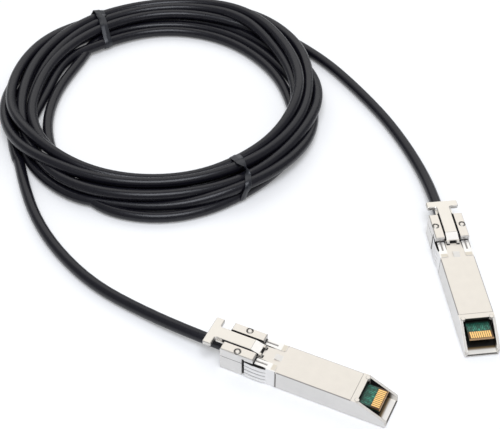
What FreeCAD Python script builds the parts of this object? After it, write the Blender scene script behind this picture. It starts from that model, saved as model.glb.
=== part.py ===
import FreeCAD, Part

import math
import os

import Sketcher

# Direct attach copper cable: two small form-factor plugs joined by three metres of twinax.
# Each plug is drawn in its own frame: x runs towards the nose from the shoulder of the
# latch boss, z goes up from the label side, which lies on the table. Plug A's frame is the
# frame of the whole cable. Lengths are millimetres, angles are degrees.

SIZES = [
    # the die-cast shell
    ("plug_width", 13.4, "outside width of the shell"),
    ("plug_height", 8.5, "height of the part that enters the cage"),
    ("nose_reach", 45.0, "latch shoulder to the end of the nose"),
    ("tail_reach", 19.0, "latch shoulder to the rear face"),
    ("wall", 1.1, "side wall"),
    ("floor", 0.9, "label side of the shell"),
    ("edge_break", 0.25, "chamfer on the long outer edges"),
    ("nose_radius", 0.8, "corners of the nose seen from above"),
    ("mouth_length", 11.3, "mouth, back from the nose"),
    ("mouth_rise", 2.9, "height of the side walls at the nose"),
    ("seam_gap", 0.12, "gap between cover and shell"),
    ("bar_thick", 1.2, "bar across the mouth"),
    ("bar_length", 2.2, "bar between the cover and the mouth"),
    ("stake_radius", 0.8, "posts staked over at the corners of the mouth"),
    ("stake_rise", 0.12, "how far the posts stand proud"),
    ("cover_thick", 0.6, "cover on the latch side"),
    ("cap_depth", 1.8, "parting line of the rear block below the cover"),
    ("column_room", 3.9, "half width between the rivet columns"),
    ("column_front", 8.6, "front face of the rivet columns, behind the shoulder"),
    ("rear_wall", 1.2, "wall that the cable passes through"),
    ("ledge_depth", 0.6, "ledges that carry the card"),
    ("ledge_back", 8.0, "rear end of the ledges"),
    ("ledge_inset", 1.0, "front end of the ledges behind the tongue"),
    # the rear cap and its rails
    ("rail_rise", 2.3, "top of the rails above the cover"),
    ("rail_front", 6.0, "front end of the rails, behind the shoulder"),
    ("rail_break", 0.3, "chamfer on the front of the rails"),
    ("channel_rise", 0.7, "sliding face under the latch above the cover"),
    ("fit", 0.05, "gap all round a part that is pressed or dropped in"),
    # the boss that the cage holds on to
    ("boss_width", 2.6, "latch boss"),
    ("boss_length", 2.6, "latch boss with its ramp"),
    ("boss_flat", 0.6, "flat top of the latch boss"),
    ("boss_rise", 0.45, "latch boss above the cover"),
    # the sliding latch
    ("stem_width", 5.1, "stem of the latch"),
    ("stem_gap", 0.4, "gap between stem and rail"),
    ("plate_thick", 1.5, "plate that the latch is made of"),
    ("slide_clear", 0.1, "running gap of the latch"),
    ("flange_reach", 0.75, "flange beyond the stem, each side"),
    ("flange_thick", 0.5, "flange that keeps the latch in its channel"),
    ("flange_back", 22.3, "rear end of the flange, behind the shoulder"),
    ("flange_front", 8.8, "front end of the flange, behind the shoulder"),
    ("handle_width", 12.6, "crossbar"),
    ("handle_depth", 3.3, "crossbar along the plug"),
    ("handle_gap", 4.0, "rear face to the crossbar"),
    ("handle_radius", 0.5, "corners of the crossbar"),
    ("neck_radius", 0.8, "corners where stem and crossbar meet"),
    ("tip_back", 8.8, "where the tip starts to slope, behind the shoulder"),
    ("tip_front", 5.5, "end of the stem, behind the shoulder"),
    ("tip_thick", 0.5, "thickness at the end of the stem"),
    ("tine_width", 1.1, "tines that lift the cage spring"),
    ("tine_middle", 1.95, "middle of a tine from the centreline"),
    ("tine_length", 1.2, "tines beyond the stem"),
    ("tine_thick", 0.7, "tines"),
    ("lug_thick", 0.9, "lug that pushes the spring"),
    ("lug_width", 1.4, "lug that pushes the spring"),
    # the return spring in its pocket
    ("pocket_back", 17.6, "rear end of the spring pocket, behind the shoulder"),
    ("pocket_front", 10.8, "front end of the spring pocket, behind the shoulder"),
    ("pocket_width", 2.0, "spring pocket"),
    ("pocket_depth", 2.0, "spring pocket below the sliding face"),
    ("spring_radius", 0.62, "middle of the spring wire"),
    ("wire_radius", 0.14, "spring wire"),
    ("spring_turns", 6.0, "turns of the spring"),
    # rivets
    ("rivet_back", 12.6, "rivets behind the shoulder"),
    ("rivet_inset", 1.4, "rivets from the side of the shell"),
    ("rivet_radius", 0.7, "rivet shank"),
    ("rivet_head", 1.0, "rivet head"),
    ("rivet_sink", 1.4, "counterbore round the head"),
    ("sink_depth", 0.7, "depth of the counterbore"),
    ("rivet_foot", 2.6, "bottom of the rivet"),
    # the spring-finger collar
    ("collar_front", 2.8, "front edge of the collar"),
    ("collar_band", 1.0, "rear edge of the band, behind the shoulder"),
    ("collar_back", 9.4, "tips of the fingers, behind the shoulder"),
    ("collar_sheet", 0.2, "spring sheet"),
    ("collar_recess", 0.3, "recess in the sides of the shell"),
    ("collar_lift", 0.05, "collar above the table"),
    ("finger_bow", 0.35, "how far the side fingers stand out"),
    ("finger_width", 1.7, "side fingers"),
    ("finger_pitch", 1.95, "side fingers"),
    ("finger_start", 0.15, "lowest edge of the side fingers"),
    ("finger_count", 4.0, "side fingers on each side"),
    ("sole_width", 2.0, "fingers under the shell"),
    ("sole_pitch", 2.35, "fingers under the shell"),
    ("sole_count", 5.0, "fingers under the shell"),
    ("tab_reach", 3.4, "inner edge of the tabs over the cover"),
    ("tab_front", 2.4, "front edge of the tabs over the cover"),
    ("strip_width", 1.0, "strips on the cover"),
    ("strip_pitch", 1.75, "strips on the cover"),
    ("strip_back", 5.6, "tips of the strips, behind the shoulder"),
    ("groove_width", 0.9, "groove behind the fingers"),
    ("groove_depth", 0.9, "groove behind the fingers"),
    ("groove_rise", 0.6, "top of the groove above the cover"),
    # the paddle card
    ("card_width", 9.2, "tongue of the card"),
    ("card_gap", 0.2, "card to the side walls"),
    ("card_thick", 1.0, "card"),
    ("card_height", 5.25, "underside of the card"),
    ("card_setback", 3.2, "nose to the front edge of the card"),
    ("card_tongue", 10.8, "narrow tongue of the card"),
    ("card_back", 2.0, "rear edge of the card"),
    ("card_bevel", 0.3, "bevel on the front edge of the card"),
    ("pad_count", 10.0, "contacts on each face"),
    ("pad_pitch", 0.8, "contacts"),
    ("pad_width", 0.56, "contacts"),
    ("pad_length", 3.0, "contacts"),
    ("pad_setback", 0.5, "contacts from the front edge"),
    ("pad_thick", 0.05, "contacts"),
    ("chip_side", 3.0, "memory chip"),
    ("chip_height", 0.8, "memory chip"),
    ("chip_back", 15.0, "rear edge of the memory chip"),
    ("chip_offset", 2.6, "memory chip from the centreline"),
    ("cap_length", 1.0, "coupling capacitor"),
    ("cap_width", 0.5, "coupling capacitor"),
    ("cap_height", 0.55, "coupling capacitor"),
    ("cap_pitch", 1.1, "coupling capacitors in their row"),
    ("cap_back", 24.0, "rear edge of the capacitors"),
    # the end of the cable inside the plug
    ("potting_back", 0.0, "rear face of the potting"),
    ("potting_front", 7.0, "front face of the potting"),
    ("potting_low", 3.6, "underside of the potting"),
    ("potting_gap", 0.2, "potting to the cover"),
    ("conductor_radius", 0.55, "insulated conductor"),
    ("wire_spread", 0.6, "conductors from the middle of the core"),
    ("wire_pitch", 1.8, "conductors of a pair at the card"),
    ("wire_rise", 1.2, "conductors above and below the middle of the card"),
    ("core_radius", 1.5, "shielded core of the cable"),
    ("core_front", 10.6, "front end of the core, behind the shoulder"),
    ("ferrule_radius", 2.1, "crimp ferrule"),
    ("ferrule_front", 11.6, "front end of the ferrule, behind the shoulder"),
    ("ferrule_flare", 0.3, "rolled front end of the ferrule"),
    # the cable
    ("cable", 4.6, "diameter of the cable"),
    ("cable_height", 4.2, "middle of the cable where it enters a plug"),
    # plug B
    ("plug_b_x", 42.2, "latch shoulder of plug B"),
    ("plug_b_y", 77.0, "latch shoulder of plug B"),
    ("plug_b_turn", -58.1, "direction of plug B"),
    # the coil and its ties
    ("coil_x", -105.6, "centre of the coil"),
    ("coil_y", 116.1, "centre of the coil"),
    ("coil_inner", 51.5, "radius of the opening"),
    ("coil_outer", 71.5, "outer radius"),
    ("coil_height", 9.6, "height of the bundle"),
    ("coil_corner", 3.6, "rounding of the bundle"),
    ("tie_turn", 147.2, "direction of the first tie from the centre of the coil"),
    ("tie_width", 4.2, "strap of a tie"),
    ("tie_thick", 0.8, "strap of a tie"),
]

# Places that follow from the sizes, as expressions over the sheet.
MOUTH = "(dim.nose_reach - dim.mouth_length)"
SEAM = f"({MOUTH} - dim.bar_length)"
INSIDE = "(dim.plug_width / 2 - dim.wall)"
PARTING = "(dim.plug_height - dim.cap_depth)"
RAIL_TOP = "(dim.plug_height + dim.rail_rise)"
SLIDING_FACE = "(dim.plug_height + dim.channel_rise)"
POCKET_FLOOR = f"({SLIDING_FACE} - dim.pocket_depth)"
RIVET_SIDE = "(dim.plug_width / 2 - dim.rivet_inset)"
GROOVE_TOP = "(dim.plug_height + dim.groove_rise)"
CARD_HALF = f"({INSIDE} - dim.card_gap)"
CARD_FRONT = "(dim.nose_reach - dim.card_setback)"
CARD_SHOULDER = f"({CARD_FRONT} - dim.card_tongue)"
CARD_TOP = "(dim.card_height + dim.card_thick)"
POTTING_TOP = "(dim.plug_height - dim.cover_thick - dim.potting_gap)"

doc = FreeCAD.newDocument("direct_attach_cable")
dim = doc.addObject("Spreadsheet::Sheet", "dim")
for row, (alias, value, note) in enumerate(SIZES, start=1):
    dim.set(f"A{row}", note)
    dim.set(f"B{row}", str(value))
    dim.setAlias(f"B{row}", alias)
doc.recompute()

nodes = []


def size(text):
    """The value of an expression over the sheet, such as 'dim.wall * 2'."""
    found = dim.evalExpression(text)
    return float(getattr(found, "Value", found))


def name_node(piece, label, plug):
    """Labels a sub-part and sets it where its plug lies, or at the cable's own origin."""
    piece.Label = label
    nodes.append(piece)
    if plug == "b":
        piece.setExpression("Placement.Base.x", "dim.plug_b_x")
        piece.setExpression("Placement.Base.y", "dim.plug_b_y")
        piece.setExpression("Placement.Rotation.Angle", "dim.plug_b_turn * 1 deg")


def new_body(label, plug=None, many_solids=False):
    body = doc.addObject("PartDesign::Body", label)
    body.AllowCompound = many_solids
    name_node(body, label, plug)
    return body


def new_sketch(body, name, plane, offset="0"):
    """A sketch on one of the body's own origin planes, moved along that plane's normal."""
    sketch = body.newObject("Sketcher::SketchObject", name)
    role = f"{plane}_Plane"
    support = next(f for f in body.Origin.OriginFeatures if f.Role == role)
    sketch.AttachmentSupport = [(support, "")]
    sketch.MapMode = "FlatFace"
    sketch.setExpression("AttachmentOffset.Base.z", offset)
    return sketch


def pin_point(sketch, edge, end, across, up):
    """Holds one end of an edge at a place given by two expressions."""
    for kind, text in (("DistanceX", across), ("DistanceY", up)):
        rule = Sketcher.Constraint(kind, -1, 1, edge, end, size(text))
        number = sketch.addConstraint(rule)
        sketch.setExpression(f"Constraints[{number}]", text)


def outline(sketch, corners):
    """Closes straight edges through the corners, each a pair of expressions."""
    first = sketch.GeometryCount
    places = [FreeCAD.Vector(size(across), size(up), 0) for across, up in corners]
    for start, end in zip(places, places[1:] + places[:1]):
        sketch.addGeometry(Part.LineSegment(start, end), False)
    for step, (across, up) in enumerate(corners):
        before = first + (step - 1) % len(corners)
        sketch.addConstraint(Sketcher.Constraint("Coincident", before, 2, first + step, 1))
        pin_point(sketch, first + step, 1, across, up)


def rectangle(sketch, low, high):
    (left, bottom), (right, top) = low, high
    outline(sketch, [(left, bottom), (right, bottom), (right, top), (left, top)])


def circle(sketch, across, up, radius):
    middle = FreeCAD.Vector(size(across), size(up), 0)
    edge = sketch.addGeometry(Part.Circle(middle, FreeCAD.Vector(0, 0, 1), size(radius)), False)
    pin_point(sketch, edge, 3, across, up)
    number = sketch.addConstraint(Sketcher.Constraint("Radius", edge, size(radius)))
    sketch.setExpression(f"Constraints[{number}]", radius)


def add_pad(body, sketch, length, symmetric=False, backwards=False):
    return add_prism(body, "Pad", sketch, length, symmetric, backwards)


def add_pocket(body, sketch, length, symmetric=False, backwards=False):
    return add_prism(body, "Pocket", sketch, length, symmetric, backwards)


def add_prism(body, kind, sketch, length, symmetric, backwards):
    feature = body.newObject(f"PartDesign::{kind}", f"{kind}_of_{sketch.Name}")
    feature.Profile = sketch
    feature.Midplane = symmetric
    feature.Reversed = backwards
    feature.setExpression("Length", length)
    sketch.Visibility = False
    doc.recompute()
    return feature


def add_mirror(body, features, plane):
    role = f"{plane}_Plane"
    mirror = body.newObject("PartDesign::Mirrored", f"Mirror_of_{features[0].Name}")
    mirror.Originals = features
    mirror.MirrorPlane = (next(f for f in body.Origin.OriginFeatures if f.Role == role), [""])
    body.Tip = mirror
    doc.recompute()
    return mirror


def add_row(body, features, axis, pitch, count):
    """Repeats features along one of the body's axes, at a pitch."""
    role = f"{axis}_Axis"
    row_of = body.newObject("PartDesign::LinearPattern", f"Row_of_{features[0].Name}")
    row_of.Originals = features
    row_of.Direction = (next(f for f in body.Origin.OriginFeatures if f.Role == role), [""])
    row_of.setExpression("Length", f"({pitch}) * (({count}) - 1)")
    row_of.setExpression("Occurrences", count)
    body.Tip = row_of
    doc.recompute()
    return row_of


def edges_of(shape, test):
    """Names of the edges whose middle passes a test."""
    return [f"Edge{n}" for n, edge in enumerate(shape.Edges, start=1) if test(edge.CenterOfMass, edge)]


def dress(body, kind, base, amount, test):
    """Rounds or breaks the edges of a feature that pass a test."""
    feature = body.newObject(f"PartDesign::{kind}", f"{kind}_of_{base.Name}")
    feature.Base = (base, edges_of(base.Shape, test))
    feature.setExpression("Radius" if kind == "Fillet" else "Size", amount)
    body.Tip = feature
    doc.recompute()
    return feature


def near(value, text):
    return abs(value - size(text)) < 0.02


def runs_along(edge, axis):
    """Whether an edge is a straight one that lies along an axis."""
    if edge.Curve.TypeId != "Part::GeomLine":
        return False
    return abs(getattr(edge.tangentAt(edge.FirstParameter), axis)) > 0.999


def base_housing(plug):
    """The die-cast tray: floor, side walls, open nose, rear wall and rivet columns."""
    body = new_body(f"plug_{plug}_base_housing", plug)
    side = new_sketch(body, "side_view", "XZ")
    outline(side, [
        ("-dim.tail_reach", "0"),
        ("dim.nose_reach", "0"),
        ("dim.nose_reach", "dim.mouth_rise"),
        (MOUTH, "dim.plug_height"),
        (SEAM, "dim.plug_height"),
        (SEAM, "dim.plug_height - dim.cover_thick"),
        ("-dim.collar_back", "dim.plug_height - dim.cover_thick"),
        ("-dim.collar_back", PARTING),
        ("-dim.tail_reach", PARTING),
    ])
    block = add_pad(body, side, "dim.plug_width", symmetric=True)
    nose = dress(body, "Fillet", block, "dim.nose_radius",
                 lambda place, edge: runs_along(edge, "z") and near(place.x, "dim.nose_reach"))
    breaks = dress(body, "Chamfer", nose, "dim.edge_break",
                   lambda place, edge: runs_along(edge, "x") and place.z < 0.01)
    cavity = new_sketch(body, "cavity_plan", "XY", "dim.floor")
    outline(cavity, [
        ("dim.nose_reach + dim.wall", f"-{INSIDE}"),
        ("dim.nose_reach + dim.wall", INSIDE),
        ("-dim.column_front", INSIDE),
        ("-dim.column_front", "dim.column_room"),
        ("-dim.tail_reach + dim.rear_wall", "dim.column_room"),
        ("-dim.tail_reach + dim.rear_wall", "-dim.column_room"),
        ("-dim.column_front", "-dim.column_room"),
        ("-dim.column_front", f"-{INSIDE}"),
    ])
    add_pocket(body, cavity, "dim.plug_height", backwards=True)
    bar = new_sketch(body, "bar_section", "XZ")
    rectangle(bar, (SEAM, "dim.plug_height - dim.bar_thick"), (MOUTH, "dim.plug_height"))
    add_pad(body, bar, "dim.plug_width - dim.wall", symmetric=True)
    ledge = new_sketch(body, "ledge_plan", "XY", "dim.floor")
    rectangle(ledge, ("dim.ledge_back", f"{INSIDE} - dim.ledge_depth"),
              (f"{CARD_SHOULDER} - dim.ledge_inset", f"{INSIDE} + dim.fit"))
    ledges = add_pad(body, ledge, "dim.card_height - dim.floor")
    add_mirror(body, [ledges], "XZ")
    stake = new_sketch(body, "stake_plan", "XY", "dim.plug_height - dim.bar_thick")
    circle(stake, f"{MOUTH} - dim.stake_radius / 4", f"{INSIDE} - dim.stake_radius / 4",
           "dim.stake_radius")
    stakes = add_pad(body, stake, "dim.bar_thick + dim.stake_rise")
    add_mirror(body, [stakes], "XZ")
    passage = new_sketch(body, "passage_section", "YZ", "-dim.tail_reach")
    circle(passage, "0", "dim.cable_height", "dim.cable / 2 + dim.fit")
    add_pocket(body, passage, "dim.rear_wall", backwards=True)
    gate = new_sketch(body, "gate_section", "YZ", "-dim.tail_reach")
    rectangle(gate, ("-dim.cable / 2 - dim.fit", "dim.cable_height"),
              ("dim.cable / 2 + dim.fit", "dim.plug_height"))
    add_pocket(body, gate, "dim.rear_wall", backwards=True)
    recess = new_sketch(body, "collar_recess", "YZ", "dim.collar_front + dim.fit")
    add_cradle(recess, "dim.collar_recess", "dim.collar_sheet + dim.collar_lift")
    add_pocket(body, recess, "dim.collar_front + dim.collar_back + dim.fit * 2")
    groove = new_sketch(body, "finger_groove", "YZ", "-dim.collar_back - dim.fit")
    add_cradle(groove, "dim.groove_depth", "dim.groove_depth / 2")
    add_pocket(body, groove, "dim.groove_width")
    bore = new_sketch(body, "rivet_bore", "XY", PARTING)
    circle(bore, "-dim.rivet_back", RIVET_SIDE, "dim.rivet_radius + dim.fit / 2")
    bores = add_pocket(body, bore, f"{PARTING} - dim.rivet_foot")
    add_mirror(body, [bores], "XZ")


def add_cradle(sketch, side_depth, sole_depth):
    """A U that takes a skin off both sides and the label side of the shell."""
    far = "dim.plug_width"
    inner = f"(dim.plug_width / 2 - {side_depth})"
    outline(sketch, [
        (f"-{far}", "dim.plug_height * 2"),
        (f"-{far}", "-dim.plug_height"),
        (far, "-dim.plug_height"),
        (far, "dim.plug_height * 2"),
        (inner, "dim.plug_height * 2"),
        (inner, sole_depth),
        (f"-{inner}", sole_depth),
        (f"-{inner}", "dim.plug_height * 2"),
    ])


def cover_plate(plug):
    """The cover on the latch side, with the boss that the cage catches."""
    body = new_body(f"plug_{plug}_cover_plate", plug)
    half = "dim.plug_width / 2"
    plan = new_sketch(body, "cover_plan", "XY", "dim.plug_height - dim.cover_thick")
    right_side = [
        ("-dim.collar_back + dim.fit", "dim.collar_recess * 2"),
        ("-dim.collar_band", "dim.collar_recess * 2"),
        ("-dim.collar_band", "dim.collar_recess"),
        ("dim.collar_front + dim.fit", "dim.collar_recess"),
        ("dim.collar_front + dim.fit", "0"),
        (f"{SEAM} - dim.seam_gap", "0"),
    ]
    right = [(along, f"{inset} - {half}") for along, inset in right_side]
    left = [(along, f"{half} - {inset}") for along, inset in reversed(right_side)]
    outline(plan, right + left)
    plate = add_pad(body, plan, "dim.cover_thick")
    dress(body, "Chamfer", plate, "dim.edge_break",
          lambda place, edge: runs_along(edge, "x") and near(abs(place.y), half)
          and near(place.z, "dim.plug_height"))
    boss = new_sketch(body, "boss_section", "XZ")
    outline(boss, [
        ("0", "dim.plug_height - dim.cover_thick / 2"),
        ("dim.boss_length", "dim.plug_height - dim.cover_thick / 2"),
        ("dim.boss_length", "dim.plug_height"),
        ("dim.boss_flat", "dim.plug_height + dim.boss_rise"),
        ("0", "dim.plug_height + dim.boss_rise"),
    ])
    add_pad(body, boss, "dim.boss_width", symmetric=True)


def rear_cap(plug):
    """The top of the rear block: two rails, the channel between them and the spring pocket."""
    body = new_body(f"plug_{plug}_rear_cap", plug)
    side = new_sketch(body, "side_view", "XZ")
    outline(side, [
        ("-dim.tail_reach", PARTING),
        ("-dim.collar_back - dim.fit", PARTING),
        ("-dim.collar_back - dim.fit", "dim.plug_height"),
        ("-dim.rail_front", "dim.plug_height"),
        ("-dim.rail_front", RAIL_TOP),
        ("-dim.tail_reach", RAIL_TOP),
    ])
    block = add_pad(body, side, "dim.plug_width", symmetric=True)
    dress(body, "Chamfer", block, "dim.rail_break",
          lambda place, edge: near(place.z, RAIL_TOP))
    channel = new_sketch(body, "channel_section", "YZ", "-dim.tail_reach")
    open_half = "(dim.stem_width / 2 + dim.stem_gap)"
    under_half = "(dim.stem_width / 2 + dim.flange_reach + dim.slide_clear)"
    under_top = f"{SLIDING_FACE} + dim.flange_thick + dim.slide_clear * 2"
    outline(channel, [
        (f"-{under_half}", SLIDING_FACE),
        (under_half, SLIDING_FACE),
        (under_half, under_top),
        (open_half, under_top),
        (open_half, f"{RAIL_TOP} * 2"),
        (f"-{open_half}", f"{RAIL_TOP} * 2"),
        (f"-{open_half}", under_top),
        (f"-{under_half}", under_top),
    ])
    add_pocket(body, channel, "dim.tail_reach", backwards=True)
    pocket = new_sketch(body, "spring_pocket", "XY", SLIDING_FACE)
    rectangle(pocket, ("-dim.pocket_back", "-dim.pocket_width / 2"),
              ("-dim.pocket_front", "dim.pocket_width / 2"))
    add_pocket(body, pocket, f"{SLIDING_FACE} - {POCKET_FLOOR}")
    sink = new_sketch(body, "rivet_counterbore", "XY", RAIL_TOP)
    circle(sink, "-dim.rivet_back", RIVET_SIDE, "dim.rivet_sink")
    sinks = add_pocket(body, sink, "dim.sink_depth")
    add_mirror(body, [sinks], "XZ")
    bore = new_sketch(body, "rivet_bore", "XY", RAIL_TOP)
    circle(bore, "-dim.rivet_back", RIVET_SIDE, "dim.rivet_radius + dim.fit / 2")
    bores = add_pocket(body, bore, f"{RAIL_TOP} - {PARTING} + dim.fit")
    add_mirror(body, [bores], "XZ")
    groove = new_sketch(body, "finger_groove", "YZ", "-dim.collar_back - dim.fit")
    deep = "(dim.plug_width / 2 - dim.groove_depth)"
    rectangle(groove, (deep, f"{PARTING} - dim.fit"), ("dim.plug_width", GROOVE_TOP))
    grooves = add_pocket(body, groove, "dim.groove_width")
    add_mirror(body, [grooves], "XZ")
    tongue = new_sketch(body, "tongue_section", "YZ", "-dim.tail_reach")
    rectangle(tongue, ("-dim.cable / 2", "dim.cable_height"), ("dim.cable / 2", f"{PARTING} + dim.fit"))
    add_pad(body, tongue, "dim.rear_wall")
    saddle = new_sketch(body, "saddle_section", "YZ", "-dim.tail_reach")
    circle(saddle, "0", "dim.cable_height", "dim.cable / 2 + dim.fit")
    add_pocket(body, saddle, "dim.rear_wall", backwards=True)


def rivets(plug):
    """Two rivets with bevelled heads that hold the cap down on the columns."""
    body = new_body(f"plug_{plug}_rivets", plug, many_solids=True)
    shank = new_sketch(body, "shank_plan", "XY", "dim.rivet_foot")
    circle(shank, "-dim.rivet_back", RIVET_SIDE, "dim.rivet_radius")
    shanks = add_pad(body, shank, f"{RAIL_TOP} - dim.sink_depth - dim.rivet_foot")
    head = new_sketch(body, "head_plan", "XY", f"{RAIL_TOP} - dim.sink_depth")
    circle(head, "-dim.rivet_back", RIVET_SIDE, "dim.rivet_head")
    heads = add_pad(body, head, "dim.sink_depth - dim.fit")
    dome = dress(body, "Chamfer", heads, "dim.rail_break",
                 lambda place, edge: near(place.z, f"{RAIL_TOP} - dim.fit"))
    add_mirror(body, [shanks, heads, dome], "XZ")


def latch_slide(plug):
    """The T-shaped slide: crossbar, stem with sloped tip, flange, tines and spring lug."""
    body = new_body(f"plug_{plug}_latch_slide", plug)
    low = f"({RAIL_TOP} - dim.plate_thick)"
    bar_front = "(-dim.tail_reach - dim.handle_gap)"
    bar_back = "(-dim.tail_reach - dim.handle_gap - dim.handle_depth)"
    plan = new_sketch(body, "plate_plan", "XY", low)
    outline(plan, [
        (bar_back, "-dim.handle_width / 2"),
        (bar_front, "-dim.handle_width / 2"),
        (bar_front, "-dim.stem_width / 2"),
        ("-dim.tip_front", "-dim.stem_width / 2"),
        ("-dim.tip_front", "dim.stem_width / 2"),
        (bar_front, "dim.stem_width / 2"),
        (bar_front, "dim.handle_width / 2"),
        (bar_back, "dim.handle_width / 2"),
    ])
    plate = add_pad(body, plan, "dim.plate_thick")
    corners = dress(body, "Fillet", plate, "dim.handle_radius",
                    lambda place, edge: runs_along(edge, "z") and near(abs(place.y), "dim.handle_width / 2"))
    necks = dress(body, "Fillet", corners, "dim.neck_radius",
                  lambda place, edge: runs_along(edge, "z") and near(place.x, bar_front)
                  and near(abs(place.y), "dim.stem_width / 2"))
    crossbar_end = size(bar_front) + size("dim.neck_radius")
    dress(body, "Chamfer", necks, "dim.edge_break",
          lambda place, edge: near(place.z, RAIL_TOP) and place.x < crossbar_end)
    slope = new_sketch(body, "tip_slope", "XZ")
    outline(slope, [
        ("-dim.tip_back", RAIL_TOP),
        ("-dim.tip_front", f"{low} + dim.tip_thick"),
        ("0", f"{low} + dim.tip_thick"),
        ("0", f"{RAIL_TOP} * 2"),
        ("-dim.tip_back", f"{RAIL_TOP} * 2"),
    ])
    add_pocket(body, slope, "dim.handle_width", symmetric=True)
    flange = new_sketch(body, "flange_plan", "XY", low)
    reach = "(dim.stem_width / 2 + dim.flange_reach)"
    rectangle(flange, ("-dim.flange_back", f"-{reach}"), ("-dim.flange_front", reach))
    add_pad(body, flange, "dim.flange_thick")
    tine = new_sketch(body, "tine_section", "XZ", "-dim.tine_middle")
    outline(tine, [
        ("-dim.rail_front + dim.slide_clear", f"{low} + dim.fit"),
        ("-dim.rail_front + dim.slide_clear", f"{low} - dim.tine_thick / 4"),
        ("-dim.tip_front", f"{low} - dim.tine_thick"),
        ("-dim.tip_front + dim.tine_length", f"{low} - dim.tine_thick"),
        ("-dim.tip_front + dim.tine_length", f"{low} - dim.tine_thick / 2"),
        ("-dim.tip_front + dim.tine_length / 2", f"{low} + dim.tip_thick / 2"),
        ("-dim.tip_front - dim.fit", f"{low} + dim.tip_thick / 2"),
    ])
    tines = add_pad(body, tine, "dim.tine_width", symmetric=True)
    add_mirror(body, [tines], "XZ")
    lug = new_sketch(body, "lug_plan", "XY", low)
    lug_back = "(-dim.pocket_back + dim.slide_clear)"
    rectangle(lug, (lug_back, "-dim.lug_width / 2"), (f"{lug_back} + dim.lug_thick", "dim.lug_width / 2"))
    add_pad(body, lug, f"{low} - {POCKET_FLOOR} - dim.slide_clear", backwards=True)


def latch_spring(plug):
    """The compression spring between the lug and the front of its pocket."""
    body = new_body(f"plug_{plug}_latch_spring", plug)
    start = "(-dim.pocket_back + dim.slide_clear + dim.lug_thick + dim.wire_radius + dim.fit / 2)"
    axis_height = f"({SLIDING_FACE} / 2 + {POCKET_FLOOR} / 2 + dim.fit)"
    wire = new_sketch(body, "wire_section", "XZ")
    wire.setExpression("AttachmentOffset.Base.y", axis_height)
    outline(wire, [
        (f"{start} + dim.wire_radius * cos({corner} deg)",
         f"dim.spring_radius + dim.wire_radius * sin({corner} deg)")
        for corner in range(0, 360, 60)
    ])
    coil = body.newObject("PartDesign::AdditiveHelix", "spring_coils")
    coil.Profile = wire
    coil.ReferenceAxis = (wire, ["H_Axis"])
    coil.Mode = "height-turns-angle"
    coil.setExpression("Height", f"-dim.pocket_front - {start} - dim.wire_radius - dim.fit / 2")
    coil.setExpression("Turns", "dim.spring_turns")
    doc.recompute()


def emi_collar(plug):
    """The spring-sheet collar: a band, bowed side fingers, sole fingers and top strips."""
    body = new_body(f"plug_{plug}_emi_collar", plug)
    side_outer = "(dim.plug_width / 2 - dim.collar_recess + dim.collar_sheet)"
    side_inner = "(dim.plug_width / 2 - dim.collar_recess)"
    sole_inner = "(dim.collar_lift + dim.collar_sheet)"
    tab_top = "(dim.plug_height + dim.collar_sheet)"
    band = new_sketch(body, "band_section", "YZ", "-dim.collar_band")
    outline(band, [
        (side_outer, tab_top),
        (side_outer, "dim.collar_lift"),
        (f"-{side_outer}", "dim.collar_lift"),
        (f"-{side_outer}", tab_top),
        (f"-{side_inner}", tab_top),
        (f"-{side_inner}", sole_inner),
        (side_inner, sole_inner),
        (side_inner, tab_top),
    ])
    add_pad(body, band, "dim.collar_front + dim.collar_band")
    tab = new_sketch(body, "tab_plan", "XY", "dim.plug_height")
    outline(tab, [
        ("-dim.collar_band", "dim.tab_reach"),
        ("dim.tab_front - dim.strip_width / 2", "dim.tab_reach"),
        ("dim.tab_front", "dim.tab_reach + dim.strip_width / 2"),
        ("dim.tab_front", side_outer),
        ("-dim.collar_band", side_outer),
    ])
    tabs = add_pad(body, tab, "dim.collar_sheet")
    strip = new_sketch(body, "strip_plan", "XY", "dim.plug_height")
    rectangle(strip, ("-dim.strip_back", "dim.tab_reach + dim.fit"),
              ("-dim.collar_band + dim.fit", "dim.tab_reach + dim.fit + dim.strip_width"))
    rectangle(strip, ("-dim.strip_back", "dim.tab_reach + dim.fit + dim.strip_pitch"),
              ("-dim.collar_band + dim.fit", "dim.tab_reach + dim.fit + dim.strip_pitch + dim.strip_width"))
    strips = add_pad(body, strip, "dim.collar_sheet")
    add_mirror(body, [tabs, strips], "XZ")
    shape = [
        ("-dim.collar_band + dim.fit", "0"),
        ("-dim.collar_back / 3", "dim.finger_bow"),
        ("-dim.collar_back * 2 / 3", "dim.finger_bow"),
        ("-dim.collar_back", "dim.fit"),
    ]
    for side, sign in (("left", "1"), ("right", "-1")):
        finger = new_sketch(body, f"{side}_finger_plan", "XY", "dim.collar_lift + dim.finger_start")
        outer = [(along, f"{sign} * ({side_outer} + {bow})") for along, bow in shape]
        inner = [(along, f"{sign} * ({side_inner} + {bow})") for along, bow in reversed(shape)]
        outline(finger, outer + inner)
        lowest = add_pad(body, finger, "dim.finger_width")
        add_row(body, [lowest], "Z", "dim.finger_pitch", "dim.finger_count")
    sole = new_sketch(body, "sole_plan", "XY", "dim.collar_lift")
    last = "(dim.sole_pitch * (dim.sole_count - 1) / 2)"
    rectangle(sole, ("-dim.collar_back", f"-{last} - dim.sole_width / 2"),
              ("-dim.collar_band + dim.fit", f"-{last} + dim.sole_width / 2"))
    soles = add_pad(body, sole, "dim.collar_sheet")
    add_row(body, [soles], "Y", "dim.sole_pitch", "dim.sole_count")


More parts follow.
